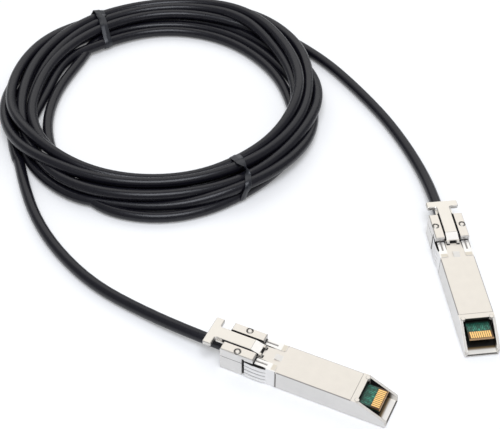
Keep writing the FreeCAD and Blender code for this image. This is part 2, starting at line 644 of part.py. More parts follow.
def paddle_card(plug):
    """The card that the host connector grips, with a bevelled front edge."""
    body = new_body(f"plug_{plug}_paddle_card", plug)
    plan = new_sketch(body, "card_plan", "XY", "dim.card_height")
    outline(plan, [
        ("dim.card_back", f"-{CARD_HALF}"),
        (CARD_SHOULDER, f"-{CARD_HALF}"),
        (CARD_SHOULDER, "-dim.card_width / 2"),
        (CARD_FRONT, "-dim.card_width / 2"),
        (CARD_FRONT, "dim.card_width / 2"),
        (CARD_SHOULDER, "dim.card_width / 2"),
        (CARD_SHOULDER, CARD_HALF),
        ("dim.card_back", CARD_HALF),
    ])
    card = add_pad(body, plan, "dim.card_thick")
    dress(body, "Chamfer", card, "dim.card_bevel",
          lambda place, edge: near(place.x, CARD_FRONT) and near(place.y, "0"))


def contact_pads(plug):
    """Two rows of gold contacts, one on each face of the card."""
    body = new_body(f"plug_{plug}_contact_pads", plug, many_solids=True)
    last = "(dim.pad_pitch * (dim.pad_count - 1) / 2)"
    front = f"({CARD_FRONT} - dim.pad_setback)"
    for face, height in (("upper", CARD_TOP), ("lower", "dim.card_height - dim.pad_thick")):
        plan = new_sketch(body, f"{face}_contact", "XY", height)
        rectangle(plan, (f"{front} - dim.pad_length", f"-{last} - dim.pad_width / 2"),
                  (front, f"-{last} + dim.pad_width / 2"))
        first = add_pad(body, plan, "dim.pad_thick")
        add_row(body, [first], "Y", "dim.pad_pitch", "dim.pad_count")


def memory_chip(plug):
    """The identification memory on the card."""
    body = new_body(f"plug_{plug}_memory_chip", plug)
    plan = new_sketch(body, "chip_plan", "XY", CARD_TOP)
    rectangle(plan, ("dim.chip_back", "dim.chip_offset - dim.chip_side / 2"),
              ("dim.chip_back + dim.chip_side", "dim.chip_offset + dim.chip_side / 2"))
    chip = add_pad(body, plan, "dim.chip_height")
    dress(body, "Chamfer", chip, "dim.chip_height / 6",
          lambda place, edge: near(place.z, f"{CARD_TOP} + dim.chip_height"))


def coupling_capacitors(plug):
    """Four capacitors in a row across the card."""
    body = new_body(f"plug_{plug}_coupling_capacitors", plug, many_solids=True)
    plan = new_sketch(body, "capacitor_plan", "XY", CARD_TOP)
    rectangle(plan, ("dim.cap_back", "-dim.cap_pitch * 1.5 - dim.cap_width / 2"),
              ("dim.cap_back + dim.cap_length", "-dim.cap_pitch * 1.5 + dim.cap_width / 2"))
    first = add_pad(body, plan, "dim.cap_height")
    add_row(body, [first], "Y", "dim.cap_pitch", "4")


def wire_potting(plug):
    """Potting that seals the soldered ends of the conductors round the rear of the card."""
    body = new_body(f"plug_{plug}_wire_potting", plug)
    plan = new_sketch(body, "potting_plan", "XY", "dim.potting_low")
    rectangle(plan, ("dim.potting_back", f"-{CARD_HALF}"),
              ("dim.potting_front", CARD_HALF))
    block = add_pad(body, plan, f"{POTTING_TOP} - dim.potting_low")
    dress(body, "Fillet", block, "dim.edge_break",
          lambda place, edge: near(place.z, POTTING_TOP))
    slot = new_sketch(body, "card_slot", "XZ")
    rectangle(slot, ("dim.card_back", "dim.card_height"),
              ("dim.potting_front * 2", CARD_TOP))
    add_pocket(body, slot, "dim.plug_width", symmetric=True)


def twinax_pairs(plug):
    """The stripped end of the cable: its shielded core and the four conductors of two pairs."""
    body = new_body(f"plug_{plug}_twinax_pairs", plug)
    core = new_sketch(body, "core_section", "YZ", "-dim.core_front")
    circle(core, "0", "dim.cable_height", "dim.core_radius")
    add_pad(body, core, "dim.tail_reach - dim.rear_wall - dim.core_front", backwards=True)
    middle = "(dim.card_height + dim.card_thick / 2)"
    for level, up in (("upper", "1"), ("lower", "-1")):
        for side, across in (("left", "1"), ("right", "-1")):
            tight = new_sketch(body, f"{level}_{side}_at_core", "YZ", "-dim.core_front")
            circle(tight, f"{across} * dim.wire_spread", f"dim.cable_height + {up} * dim.wire_spread",
                   "dim.conductor_radius")
            wide = new_sketch(body, f"{level}_{side}_at_card", "YZ", "dim.potting_back")
            circle(wide, f"{across} * dim.wire_pitch / 2", f"{middle} + {up} * dim.wire_rise",
                   "dim.conductor_radius")
            wire = body.newObject("PartDesign::AdditiveLoft", f"{level}_{side}_conductor")
            wire.Profile = tight
            wire.Sections = [wide]
            doc.recompute()


def crimp_ferrule(plug):
    """The ferrule crimped on the shield, with a rolled front end."""
    body = new_body(f"plug_{plug}_crimp_ferrule", plug)
    section = new_sketch(body, "ferrule_section", "XZ")
    section.setExpression("AttachmentOffset.Base.y", "dim.cable_height")
    back = "(-dim.tail_reach + dim.rear_wall)"
    outline(section, [
        (back, "dim.core_radius + dim.fit"),
        ("-dim.ferrule_front", "dim.core_radius + dim.fit"),
        ("-dim.ferrule_front", "dim.ferrule_radius + dim.ferrule_flare"),
        ("-dim.ferrule_front - dim.ferrule_flare", "dim.ferrule_radius + dim.ferrule_flare"),
        ("-dim.ferrule_front - dim.ferrule_flare * 3", "dim.ferrule_radius"),
        (back, "dim.ferrule_radius"),
    ])
    turned = body.newObject("PartDesign::Revolution", "ferrule")
    turned.Profile = section
    turned.ReferenceAxis = (section, ["H_Axis"])
    turned.Angle = 360
    doc.recompute()


def cable_coil():
    """The bundle of turns, drawn as one ring that is grooved where the ties pinch it."""
    body = new_body("cable_coil")
    body.setExpression("Placement.Base.x", "dim.coil_x")
    body.setExpression("Placement.Base.y", "dim.coil_y")
    body.setExpression("Placement.Rotation.Angle", "dim.tie_turn * 1 deg")
    section = new_sketch(body, "bundle_section", "XZ")
    bundle_section(section, "0")
    ring = body.newObject("PartDesign::Revolution", "ring")
    ring.Profile = section
    ring.ReferenceAxis = (section, ["V_Axis"])
    ring.Angle = 360
    doc.recompute()
    waist = new_sketch(body, "tie_groove", "XZ")
    bundle_section(waist, "-dim.tie_thick")
    bundle_section(waist, "dim.tie_thick + dim.fit")
    groove = add_pocket(body, waist, "dim.tie_width + dim.fit * 2", symmetric=True)
    both = body.newObject("PartDesign::PolarPattern", "both_grooves")
    both.Originals = [groove]
    both.Axis = (next(f for f in body.Origin.OriginFeatures if f.Role == "Z_Axis"), [""])
    both.Angle = 360
    both.Occurrences = 2
    body.Tip = both
    doc.recompute()


def bundle_section(sketch, inset):
    """The rounded outline of the bundle, drawn in by an inset; a negative one widens it."""
    low = f"({inset})"
    high = f"(dim.coil_height - ({inset}))"
    inner = f"(dim.coil_inner + ({inset}))"
    outer = f"(dim.coil_outer - ({inset}))"
    cut = "dim.coil_corner"
    outline(sketch, [
        (f"{inner} + {cut} / 3", low),
        (f"{outer} - {cut} / 3", low),
        (outer, f"{low} + {cut} / 3"),
        (outer, f"{high} - {cut}"),
        (f"{outer} - {cut} * 0.3", f"{high} - {cut} * 0.3"),
        (f"{outer} - {cut}", high),
        (f"{inner} + {cut}", high),
        (f"{inner} + {cut} * 0.3", f"{high} - {cut} * 0.3"),
        (inner, f"{high} - {cut}"),
        (inner, f"{low} + {cut} / 3"),
    ])


def tie(number, turned):
    """One strap round the bundle."""
    body = new_body(f"tie_{number}")
    body.setExpression("Placement.Base.x", "dim.coil_x")
    body.setExpression("Placement.Base.y", "dim.coil_y")
    body.setExpression("Placement.Rotation.Angle", f"(dim.tie_turn + {turned}) * 1 deg")
    section = new_sketch(body, "strap_section", "XZ")
    bundle_section(section, "0")
    bundle_section(section, "dim.tie_thick")
    add_pad(body, section, "dim.tie_width", symmetric=True)


# The middle line of each tail: from the middle of the plug's rear face to the coil.
LEAVING = size("dim.cable_height")
RESTING = size("dim.cable / 2 + dim.fit")
TAIL_A = [
    (-31.0, 0.0, LEAVING),
    (-55.7, 2.8, RESTING + 0.15),
    (-79.5, 6.6, RESTING),
    (-101.6, 16.2, RESTING),
    (-119.4, 28.4, RESTING),
    (-133.7, 42.7, RESTING),
    (-144.5, 55.4, RESTING),
]
TAIL_B = [
    (25.82, 103.32, LEAVING),
    (15.9, 118.4, RESTING + 0.15),
    (2.2, 133.6, RESTING),
    (-13.0, 147.5, RESTING),
    (-31.2, 160.6, RESTING),
    (-48.9, 171.7, RESTING),
    (-64.8, 178.6, RESTING),
    (-79.7, 183.4, RESTING),
]
RUN_SHARE = 0.45


def cable_tail(plug, points):
    """A tube along straight runs joined by tangent arcs as large as the runs allow."""
    turn = 0
    corner = FreeCAD.Vector()
    if plug == "b":
        turn = math.radians(size("dim.plug_b_turn"))
        corner = FreeCAD.Vector(size("dim.plug_b_x"), size("dim.plug_b_y"), 0)
    inside = size("dim.tail_reach - dim.rear_wall")
    heading = FreeCAD.Vector(math.cos(turn), math.sin(turn), 0)
    start = corner - heading * inside + FreeCAD.Vector(0, 0, size("dim.cable_height"))
    stops = [start] + [FreeCAD.Vector(*point) for point in points]
    edges = []
    tightest = []
    reached = start
    for before, here, after in zip(stops, stops[1:], stops[2:]):
        arriving = (here - before).normalize()
        leaving = (after - here).normalize()
        half_turn = arriving.getAngle(leaving) / 2
        reach = RUN_SHARE * min((here - before).Length, (after - here).Length)
        begin = here - arriving * reach
        end = here + leaving * reach
        radius = reach / math.tan(half_turn)
        inward = (leaving - arriving).normalize()
        top = here + inward * (radius / math.cos(half_turn) - radius)
        edges.append(Part.LineSegment(reached, begin).toShape())
        edges.append(Part.Arc(begin, top, end).toShape())
        tightest.append(round(radius, 1))
        reached = end
    edges.append(Part.LineSegment(reached, stops[-1]).toShape())
    path = Part.Wire(edges)
    radius = size("dim.cable / 2")
    ring = Part.Wire(Part.makeCircle(radius, start, (stops[1] - start).normalize()))
    tube = path.makePipeShell([ring], True, False)
    ideal = math.pi * radius ** 2 * path.Length
    print(f"tail {plug}: length {path.Length:.1f}, radii {tightest}, volume share {tube.Volume / ideal:.4f}")
    tail = doc.addObject("Part::Feature", f"cable_tail_{plug}")
    tail.Shape = tube
    name_node(tail, f"cable_tail_{plug}", None)


for plug in ("a", "b"):
    base_housing(plug)
    cover_plate(plug)
    rear_cap(plug)
    rivets(plug)
    latch_slide(plug)
    latch_spring(plug)
    emi_collar(plug)
    paddle_card(plug)
    contact_pads(plug)
    memory_chip(plug)
    coupling_capacitors(plug)
    wire_potting(plug)
    twinax_pairs(plug)
    crimp_ferrule(plug)
cable_tail("a", TAIL_A)
cable_coil()
cable_tail("b", TAIL_B)
tie(1, 0)
tie(2, 180)
doc.recompute()

for thing in doc.Objects:
    if "Invalid" in thing.State or "Error" in thing.State:
        raise ValueError(f"{thing.Label} did not build: {thing.State}")
os.makedirs("parts", exist_ok=True)
for node in nodes:
    if node.Shape.isNull() or not node.Shape.isValid():
        raise ValueError(f"{node.Label} has no valid shape")
    node.Shape.exportStep(f"parts/{node.Label}.step")
    box = node.Shape.BoundBox
    print(f"{node.Label}: {len(node.Shape.Solids)} solids, {node.Shape.Volume:.1f} mm3, "
          f"x {box.XMin:.2f} {box.XMax:.2f} y {box.YMin:.2f} {box.YMax:.2f} z {box.ZMin:.2f} {box.ZMax:.2f}")
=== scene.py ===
# %% [markdown]
# Direct attach copper cable: two metal plugs joined by a few metres of black twinax, most of
# it wound into a loose coil that two twist ties hold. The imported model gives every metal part
# its place and size. This script dresses those parts, lays the real length of cable along its
# route, ties the coil, and sets up a plain studio. Blender works in metres; sizes written in
# millimetres are multiplied by MM. The frame is plug A's: x runs to its nose, z goes up.

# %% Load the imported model
import math

import bmesh
import bpy
import numpy as np
from mathutils import Matrix, Vector


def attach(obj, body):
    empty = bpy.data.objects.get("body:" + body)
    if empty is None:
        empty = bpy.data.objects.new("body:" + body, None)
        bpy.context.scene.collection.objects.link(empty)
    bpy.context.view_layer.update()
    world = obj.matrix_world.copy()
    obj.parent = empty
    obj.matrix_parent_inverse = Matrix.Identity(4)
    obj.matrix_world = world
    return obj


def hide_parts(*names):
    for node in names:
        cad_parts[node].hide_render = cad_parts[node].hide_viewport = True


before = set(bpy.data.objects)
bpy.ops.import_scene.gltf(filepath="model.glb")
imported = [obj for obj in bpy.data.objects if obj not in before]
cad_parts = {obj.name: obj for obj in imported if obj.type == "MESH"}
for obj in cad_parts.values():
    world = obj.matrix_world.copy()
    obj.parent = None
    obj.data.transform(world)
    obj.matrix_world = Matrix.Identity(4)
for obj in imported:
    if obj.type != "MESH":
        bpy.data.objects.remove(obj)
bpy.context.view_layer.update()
MM = 0.001
scene = bpy.context.scene

# %% [markdown]
# The camera looks down on the cable from about 45 degrees through a long lens, as a catalogue
# picture does, so that the coil reads as a ring and both mouths can be seen into. Its three
# axes are built up one by one, because it also leans sideways by a fraction of a degree.

# %% Camera
CAMERA_PLACE = Vector((0.10906, -0.25850, 0.35888))
CAMERA_AIM = Vector((-0.04247, 0.06945, 0))
CAMERA_LEAN = math.radians(0.28)
SENSOR, LENS = 36, 89.48

camera = bpy.data.objects.new("camera", bpy.data.cameras.new("camera"))
scene.collection.objects.link(camera)
forward = (CAMERA_AIM - CAMERA_PLACE).normalized()
level = forward.cross(Vector((0, 0, 1))).normalized()
upright = level.cross(forward)
right = level * math.cos(CAMERA_LEAN) + upright * math.sin(CAMERA_LEAN)
up = upright * math.cos(CAMERA_LEAN) - level * math.sin(CAMERA_LEAN)
turn = Matrix((right, up, -forward)).transposed().to_4x4()
camera.matrix_world = Matrix.Translation(CAMERA_PLACE) @ turn
camera.data.sensor_width = SENSOR
camera.data.lens = LENS
scene.camera = camera
print("camera", camera.data.lens, "mm")

# %% [markdown]
# Bright metal shows what stands round it and black plastic shows little but its highlights,
# so both need large soft lights. A soft box above the camera draws a long highlight along the
# top of every turn of cable. A wide panel behind fills the flat tops of the plugs, which
# mirror the far side of the room. The world adds a low even fill.

# %% Lights
scene.view_settings.view_transform = "Standard"
TO_CAMERA = Vector((0.42, -0.91, 0))


def area_light(name, offset, size, power, colour):
    """A rectangle of light that faces the middle of the picture."""
    lamp = bpy.data.lights.new(name, "AREA")
    lamp.shape = "RECTANGLE"
    lamp.size, lamp.size_y = size
    lamp.energy = power
    lamp.color = colour
    holder = bpy.data.objects.new(name, lamp)
    scene.collection.objects.link(holder)
    holder.location = CAMERA_AIM + offset
    holder.rotation_euler = (-offset).to_track_quat("-Z", "Y").to_euler()


COOL_WHITE, WARM_WHITE = (0.90, 0.93, 1.0), (1.0, 0.99, 0.97)
area_light("soft_box", TO_CAMERA * 0.34 + Vector((0, 0, 0.84)), (0.5, 0.5), 5.0, COOL_WHITE)
area_light("back_panel", TO_CAMERA * -0.71 + Vector((0, 0, 0.71)), (1.6, 0.9), 4.2, WARM_WHITE)

FILL_TINT, FILL_STRENGTH = (0.96, 0.98, 1.0, 1), 0.38
world = bpy.data.worlds.new("studio")
scene.world = world
world.use_nodes = True
fill = world.node_tree.nodes["Background"]
fill.inputs["Color"].default_value = FILL_TINT
fill.inputs["Strength"].default_value = FILL_STRENGTH
print("lights", len(bpy.data.lights))

# %% [markdown]
# Materials are trees of small nodes, wired from socket to socket. Two helpers keep the wiring
# short. The first gives a socket either a link or a plain value, whichever it is handed, and
# the second makes one Math node out of what it is fed.

# %% Two helpers for node trees
def feed(tree, socket, value):
    """Link a socket to another one, or give it a plain value."""
    if isinstance(value, bpy.types.NodeSocket):
        tree.links.new(value, socket)
    else:
        socket.default_value = value


def math_node(tree, operation, *values, clamp=False):
    """One Math node; its result is returned."""
    node = tree.nodes.new("ShaderNodeMath")
    node.operation = operation
    node.use_clamp = clamp
    for socket, value in zip(node.inputs, values):
        feed(tree, socket, value)
    return node.outputs[0]


print("node helpers ready")

# %% [markdown]
# The floor is a plain sheet just under the cable. It takes the soft shadows as a matt white
# surface. A little extra light is added only for camera, mirror and glass rays, which brings
# the sheet up to clean white without lighting the cable any more.

# %% Floor
FLOOR_DROP = 0.2 * MM
FLOOR_HALF = 3
FLOOR_WHITE = (0.88, 0.88, 0.88, 1)
FLOOR_GLOW = 0.16

floor_mesh = bpy.data.meshes.new("floor")
sheet = bmesh.new()
bmesh.ops.create_grid(sheet, x_segments=1, y_segments=1, size=FLOOR_HALF)
sheet.to_mesh(floor_mesh)
sheet.free()
floor = bpy.data.objects.new("floor", floor_mesh)
scene.collection.objects.link(floor)
floor.location = (CAMERA_AIM.x, CAMERA_AIM.y, -FLOOR_DROP)

floor_paint = bpy.data.materials.new("floor_paint")
floor_paint.use_nodes = True
tree = floor_paint.node_tree
matt = tree.nodes["Principled BSDF"]
matt.inputs["Base Color"].default_value = FLOOR_WHITE
matt.inputs["Roughness"].default_value = 0.9
matt.inputs["Specular IOR Level"].default_value = 0
rays = tree.nodes.new("ShaderNodeLightPath").outputs
seen = math_node(tree, "MAXIMUM", rays["Is Camera Ray"], rays["Is Glossy Ray"])
through = math_node(tree, "MAXIMUM", seen, rays["Is Transmission Ray"])
glow = tree.nodes.new("ShaderNodeEmission")
feed(tree, glow.inputs["Strength"], math_node(tree, "MULTIPLY", through, FLOOR_GLOW))
both = tree.nodes.new("ShaderNodeAddShader")
tree.links.new(matt.outputs[0], both.inputs[0])
tree.links.new(glow.outputs[0], both.inputs[1])
tree.links.new(both.outputs[0], tree.nodes["Material Output"].inputs["Surface"])
floor_mesh.materials.append(floor_paint)
print("floor at", floor.location.z)

# %% [markdown]
# The cable is one round jacket from plug to plug, so it is one curve. Its line is a NURBS
# spline: the points pull the line without lying on it, which gives the slow bends of a springy
# cable. The two tails follow listed points.
# RESTING is the height of the middle of a cable that lies on the table.

# %% Route of the two tails
CABLE = 4.6
RESTING = CABLE / 2 + 0.05
EXIT_A = (-17.8, 0.0, 4.2)
TAIL_A = [
    (-31.0, 0.0, 4.2),
    (-55.7, 2.8, RESTING + 0.15),
    (-79.5, 6.6, RESTING),
    (-101.6, 16.2, RESTING),
    (-119.4, 28.4, RESTING),
    (-133.7, 42.7, RESTING),
    (-144.5, 55.4, RESTING),
]
EXIT_B = (32.79, 92.11, 4.2)
TAIL_B = [
    (25.82, 103.32, 4.2),
    (15.9, 118.4, RESTING + 0.15),
    (2.2, 133.6, RESTING),
    (-13.0, 147.5, RESTING),
    (-31.2, 160.6, RESTING),
    (-48.9, 171.7, RESTING),
    (-64.8, 178.6, RESTING),
    (-79.7, 183.4, RESTING),
]
print("tail points", len(TAIL_A), len(TAIL_B))

# %% [markdown]
# A hand-wound coil is never a neat spiral. The strands change places as they go round: here
# several climb over the others and come down again, and one bulges out from under the rest.
# Each pass is described by its section, as a radius and a height in millimetres, at thirteen
# bearings, and the last one only at the first seven. A pass runs on into the next one.

# %% Where each pass of the coil lies
COIL_MIDDLE = (-107.65, 117.55)
COIL_TURN = 24.8
BEARINGS = [210, 195, 180, 150, 122, 90, 60, 30, 0, -30, -57, -90, -120]
PASSES = [
    [(70.8, 2.35), (68.0, 2.35), (65.2, 2.35), (61.8, 2.35), (60.0, 2.35), (60.2, 2.35), (60.7, 2.35),
     (62.0, 2.35), (66.0, 2.35), (70.0, 5.8), (71.2, 6.6), (70.3, 3.2), (70.9, 2.35)],
    [(67.4, 2.35), (63.4, 2.35), (60.8, 2.35), (58.4, 5.2), (60.5, 6.35), (62.8, 6.35), (63.2, 6.35),
     (59.3, 6.35), (59.1, 6.35), (61.6, 3.6), (63.6, 3.0), (64.2, 4.2), (66.8, 3.2)],
    [(63.6, 2.35), (59.6, 2.35), (54.0, 2.35), (53.4, 2.35), (50.9, 2.35), (51.0, 2.35), (51.5, 2.35),
     (52.6, 2.35), (57.3, 2.35), (66.0, 2.35), (70.5, 2.35), (74.5, 2.35), (67.8, 2.35)],
    [(56.4, 2.35), (52.3, 2.35), (49.3, 2.35), (48.2, 2.35), (54.6, 2.35), (55.6, 2.35), (56.1, 2.35),
     (56.9, 2.35), (61.6, 2.35), (59.0, 2.35), (59.0, 2.35), (60.3, 2.35), (61.0, 2.35)],
    [(60.6, 5.2), (59.4, 5.8), (57.2, 5.9), (56.4, 6.35), (56.3, 6.35), (58.8, 6.35), (61.0, 5.8),
     (66.3, 2.8), (69.0, 5.9), (66.4, 6.35), (67.0, 5.8), (68.2, 6.5), (68.8, 6.2)],
    [(65.2, 6.35), (63.8, 6.35), (62.7, 6.35), (63.6, 6.35), (64.6, 6.35), (67.1, 6.6), (67.0, 8.8),
     (62.4, 9.8), (60.8, 10.0), (58.9, 7.4), (55.8, 4.5), (55.6, 4.4), (59.5, 6.35)],
    [(63.8, 9.4), (66.4, 8.2), (67.6, 6.8), (67.8, 6.35), (67.5, 2.6), (69.4, 2.5), (71.2, 5.4),
     (69.4, 7.2), (64.8, 7.4), (62.8, 6.8), (60.6, 7.0), (60.4, 6.8), (64.3, 6.6)],
    [(69.8, 6.2), (70.2, 4.8), (69.8, 2.9), (66.4, 2.35), (63.4, 2.35), (64.8, 2.35), (68.0, 2.35)],
]
COIL_START = (214.5, 72.3, RESTING)
COIL_END = (42, 71.4, RESTING)
FULL = 360
print("passes", len(PASSES))

# %% [markdown]
# Between the bearings the line eases from one section to the next, as a cable does: a cubic
# with the same slope on both sides of every bearing. Thirty-six points a turn keep the spline
# round. It runs about a quarter of a millimetre inside its points.

# %% Ease from section to section
PER_TURN = 36

last_pass = len(PASSES) - 1
stops = [COIL_START]
for lap, spots in enumerate(PASSES):
    stops += [(bearing - FULL * lap, *spot) for bearing, spot in zip(BEARINGS, spots)]
stops.append((COIL_END[0] - FULL * last_pass, *COIL_END[1:]))
travelled = np.array([-stop[0] for stop in stops])
count = int((travelled[-1] - travelled[0]) / FULL * PER_TURN) + 1
along = np.linspace(travelled[0], travelled[-1], count)


def eased(values):
    """A smooth line through the values at the stops, read at every point of the coil."""
    slope = np.gradient(values, travelled)
    leg = np.clip(np.searchsorted(travelled, along) - 1, 0, len(travelled) - 2)
    span = travelled[leg + 1] - travelled[leg]
    share = (along - travelled[leg]) / span
    start, end = values[leg], values[leg + 1]
    swing = slope[leg] * (1 - share) - slope[leg + 1] * share
    return start + (end - start) * share ** 2 * (3 - 2 * share) + span * share * (1 - share) * swing


radius = eased(np.array([stop[1] for stop in stops]))
height = eased(np.array([stop[2] for stop in stops]))
print("coil points", count)

# %% [markdown]
# Eased lines can still run into each other. A short loop settles them: in each section, two
# strands that are closer than a diameter push each other apart, the push is shared with the
# points before and after, and a weak pull brings each strand back to its place. The table
# holds the coil up, and under each tie the strap does.

# %% Settle the strands against each other
TIE_BEARINGS = (122.4, -57.6)
STRAP_LIFT = 0.5
TIE_SPREAD = 9
TOUCHING = CABLE * 0.985
SETTLE_ROUNDS = 120
PUSH, PULL = 0.8, 0.03
TINY = 1e-9

compass = -along % FULL
table = np.full(count, RESTING)
for bearing in TIE_BEARINGS:
    away = np.abs((compass - bearing + FULL / 2) % FULL - FULL / 2)
    table += STRAP_LIFT * np.exp(-(away / TIE_SPREAD) ** 2)


def push_apart(radius, height):
    """How far each point is pushed by the strands that it overlaps in its own section."""
    push_out, push_up = np.zeros(count), np.zeros(count)
    for laps in range(1, len(PASSES)):
        one = np.arange(count - laps * PER_TURN)
        other = one + laps * PER_TURN
        gap_out, gap_up = radius[other] - radius[one], height[other] - height[one]
        gap = np.hypot(gap_out, gap_up) + TINY
        share = np.clip(TOUCHING - gap, 0, None) / gap / 2
        for push, part in ((push_out, gap_out), (push_up, gap_up)):
            push[one] -= share * part
            push[other] += share * part
    return push_out, push_up


def shared(offset):
    """Spread an offset to the neighbouring points, and let a little of it go."""
    spread = offset.copy()
    spread[1:-1] = (offset[:-2] + 2 * offset[1:-1] + offset[2:]) / 4
    return (offset + spread) / 2 - spread * PULL


drawn_radius, drawn_height = radius.copy(), height.copy()
for _ in range(SETTLE_ROUNDS):
    push_out, push_up = push_apart(radius, height)
    radius = drawn_radius + shared(radius + push_out * PUSH - drawn_radius)
    height = drawn_height + shared(height + push_up * PUSH - drawn_height)
    height = np.maximum(height, table)
moved = np.hypot(radius - drawn_radius, height - drawn_height)
print("settled, largest move", round(float(moved.max()), 2), "mm")

# %% [markdown]
# Now the whole route becomes one spline. Order three and clamped ends are set after the points
# are there, since a spline without points can't keep them. The bevel is one metre deep and
# each point shrinks it to the cable's radius, which keeps the curve's own bounds tight.

swept = np.radians(COIL_TURN - along)
across = COIL_MIDDLE[0] + radius * np.cos(swept)
away = COIL_MIDDLE[1] + radius * np.sin(swept)
coil_line = np.stack([across, away, height], 1)
route = [EXIT_A, *TAIL_A, *map(tuple, coil_line), *reversed(TAIL_B), EXIT_B]

cable_line = bpy.data.curves.new("cable", "CURVE")
cable_line.dimensions = "3D"
spline = cable_line.splines.new("NURBS")
spline.points.add(len(route) - 1)
for point, place in zip(spline.points, route):
    point.co = (*(Vector(place) * MM), 1)
    point.radius = CABLE / 2 * MM
spline.order_u = 3
spline.use_endpoint_u = True
spline.resolution_u = 4
cable_line.bevel_depth = 1
cable_line.bevel_resolution = 6
cable_line.use_fill_caps = True
cable = bpy.data.objects.new("cable", cable_line)
scene.collection.objects.link(cable)
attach(cable, "cable_assembly")
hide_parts("cable_tail_a", "cable_coil", "cable_tail_b")
print("cable points", len(route))

# %% [markdown]
# Each tie is a twist tie: a flat black strip with a soft wire along its middle. Its line is the
# outline of the strands that it holds, which is the convex hull of their circles: the shape
# that a stretched rubber band would take. The strip presses a little into the jackets. The
# cells below find that line, then sweep a strip along it.

# %% Outline of the strands under a tie
STRIP_THICK = 0.35
RIDGE = 0.15
STRIP_STEPS = 64
OUTLINE_DOTS = 32


def strands_at(bearing):
    """The radius and height of every strand where the coil crosses this bearing."""
    crossings = [FULL * lap - bearing for lap in range(-1, len(PASSES))]
    inside = [at for at in crossings if along[0] < at < along[-1]]
    return [(np.interp(at, along, radius), np.interp(at, along, height)) for at in inside]


def turns_left(first, second, third):
    """Positive when the path through the three points turns left."""
    return ((second[0] - first[0]) * (third[1] - first[1])
            - (second[1] - first[1]) * (third[0] - first[0]))


def outline_round(strands):
    """The closed line half a strip outside the strands, from the inner side under to the outer."""
    ring = CABLE / 2 + STRIP_THICK / 2
    clock = [math.tau * step / OUTLINE_DOTS for step in range(OUTLINE_DOTS)]
    dots = sorted((out + ring * math.cos(hour), up + ring * math.sin(hour))
                  for out, up in strands for hour in clock)
    corners = []
    for side in (dots, dots[::-1]):
        chain = []
        for dot in side:
            while len(chain) > 1 and turns_left(chain[-2], chain[-1], dot) <= 0:
                chain.pop()
            chain.append(dot)
        corners += chain[:-1]
    return np.array(corners + corners[:1])


print("strands under the ties", [len(strands_at(bearing)) for bearing in TIE_BEARINGS])

# %% [markdown]
# The strip starts under the bundle and goes once round it, so that its ends meet where
# nobody sees them. A row of settings says what it does on the way: how far round it is, how
# far it stands off, how far it slides along the cable, how many degrees it is turned over, and
# how wide it is there. The first tie is folded near its middle, and the second is turned over
# once on top. BOTTOM is the share of the outline at which a strip starts.

# %% The way each strip goes round
BOTTOM = 0.22
TIE_1_WAY = [
    (0.00, 0.0, 1.5, 0, 0.9),
    (0.16, 0.1, -0.8, 0, 1.0),
    (0.26, 0.6, -2.2, 8, 1.15),
    (0.34, 0.4, -2.6, 16, 1.25),
    (0.46, 0.3, -1.5, 20, 1.2),
    (0.52, 0.9, -0.2, -24, 0.75),
    (0.58, 0.3, 0.8, -6, 0.8),
    (0.72, 0.1, 2.6, 0, 0.85),
    (0.80, 0.1, 3.0, 0, 0.85),
    (1.00, 0.0, 1.5, 0, 0.9),
]
TIE_2_WAY = [
    (0.00, 0.0, -1.0, 0, 0.8),
    (0.22, 0.2, -4.2, 0, 0.65),
    (0.30, 0.3, -3.0, 0, 0.65),
    (0.42, 0.6, 0.8, 10, 0.6),
    (0.47, 1.2, 1.6, 80, 0.6),
    (0.52, 1.2, 2.0, 150, 0.65),
    (0.58, 0.4, 2.5, 180, 0.9),
    (0.68, 0.2, 3.6, 180, 1.05),
    (0.78, 0.1, 4.6, 180, 1.0),
    (1.00, 0.0, -1.0, 180, 0.8),
]


def strip_path(bearing, way):
    """Places along the strip in the bundle's section, with the turn and the width at each."""
    corners = outline_round(strands_at(bearing))
    reached = np.concatenate([[0], np.cumsum(np.hypot(*np.diff(corners, axis=0).T))])
    share = np.linspace(0, 1, STRIP_STEPS)
    wanted = (share + BOTTOM) % 1 * reached[-1]
    spot = np.stack([np.interp(wanted, reached, corners[:, side]) for side in (0, 1)], 1)
    heading = np.gradient(spot, axis=0)
    outward = np.stack([heading[:, 1], -heading[:, 0]], 1) / np.hypot(*heading.T)[:, None]
    marks, lift, slide, turned, width = np.array(way).T
    spot += outward * np.interp(share, marks, lift)[:, None]
    places = np.column_stack([spot, np.interp(share, marks, slide)])
    return places, np.radians(np.interp(share, marks, turned)), np.interp(share, marks, width)


print("strip points", STRIP_STEPS)

# %% [markdown]
# The section of the strip is drawn as a small closed curve: flat, with thin edges and a ridge
# over the wire on both faces. Half of it is written down, and turning that half round the
# middle gives the other.

# %% Section of the strip
STRIP_WIDTH = 4.4
STRIP_EDGE = 0.2
RIDGE_FOOT, RIDGE_TOP = 0.7, 0.25


def strip_profile():
    """Half of the section mirrored through the middle: edge, flat, ridge, flat, edge."""
    half, thin = STRIP_WIDTH / 2, STRIP_THICK / 2
    flat = half - STRIP_EDGE
    crest = thin + RIDGE
    over = [(0, half), (thin, flat), (thin, RIDGE_FOOT), (crest, RIDGE_TOP),
            (crest, -RIDGE_TOP), (thin, -RIDGE_FOOT), (thin, -flat)]
    under = [(-rise, -across) for rise, across in over]
    line = bpy.data.curves.new("strip_profile", "CURVE")
    outline = line.splines.new("POLY")
    outline.points.add(len(over + under) - 1)
    for point, (rise, across) in zip(outline.points, over + under):
        point.co = (rise * MM, across * MM, 0, 1)
    outline.use_cyclic_u = True
    return bpy.data.objects.new("strip_profile", line)


print("strip", STRIP_WIDTH, "by", STRIP_THICK, "mm")

# %% [markdown]
# Blender sweeps the section along the strip's line as a bevel object. The line is drawn with
# the bundle's section lying flat, because a profile keeps upright along a line that lies flat.
# Only the mesh is kept.

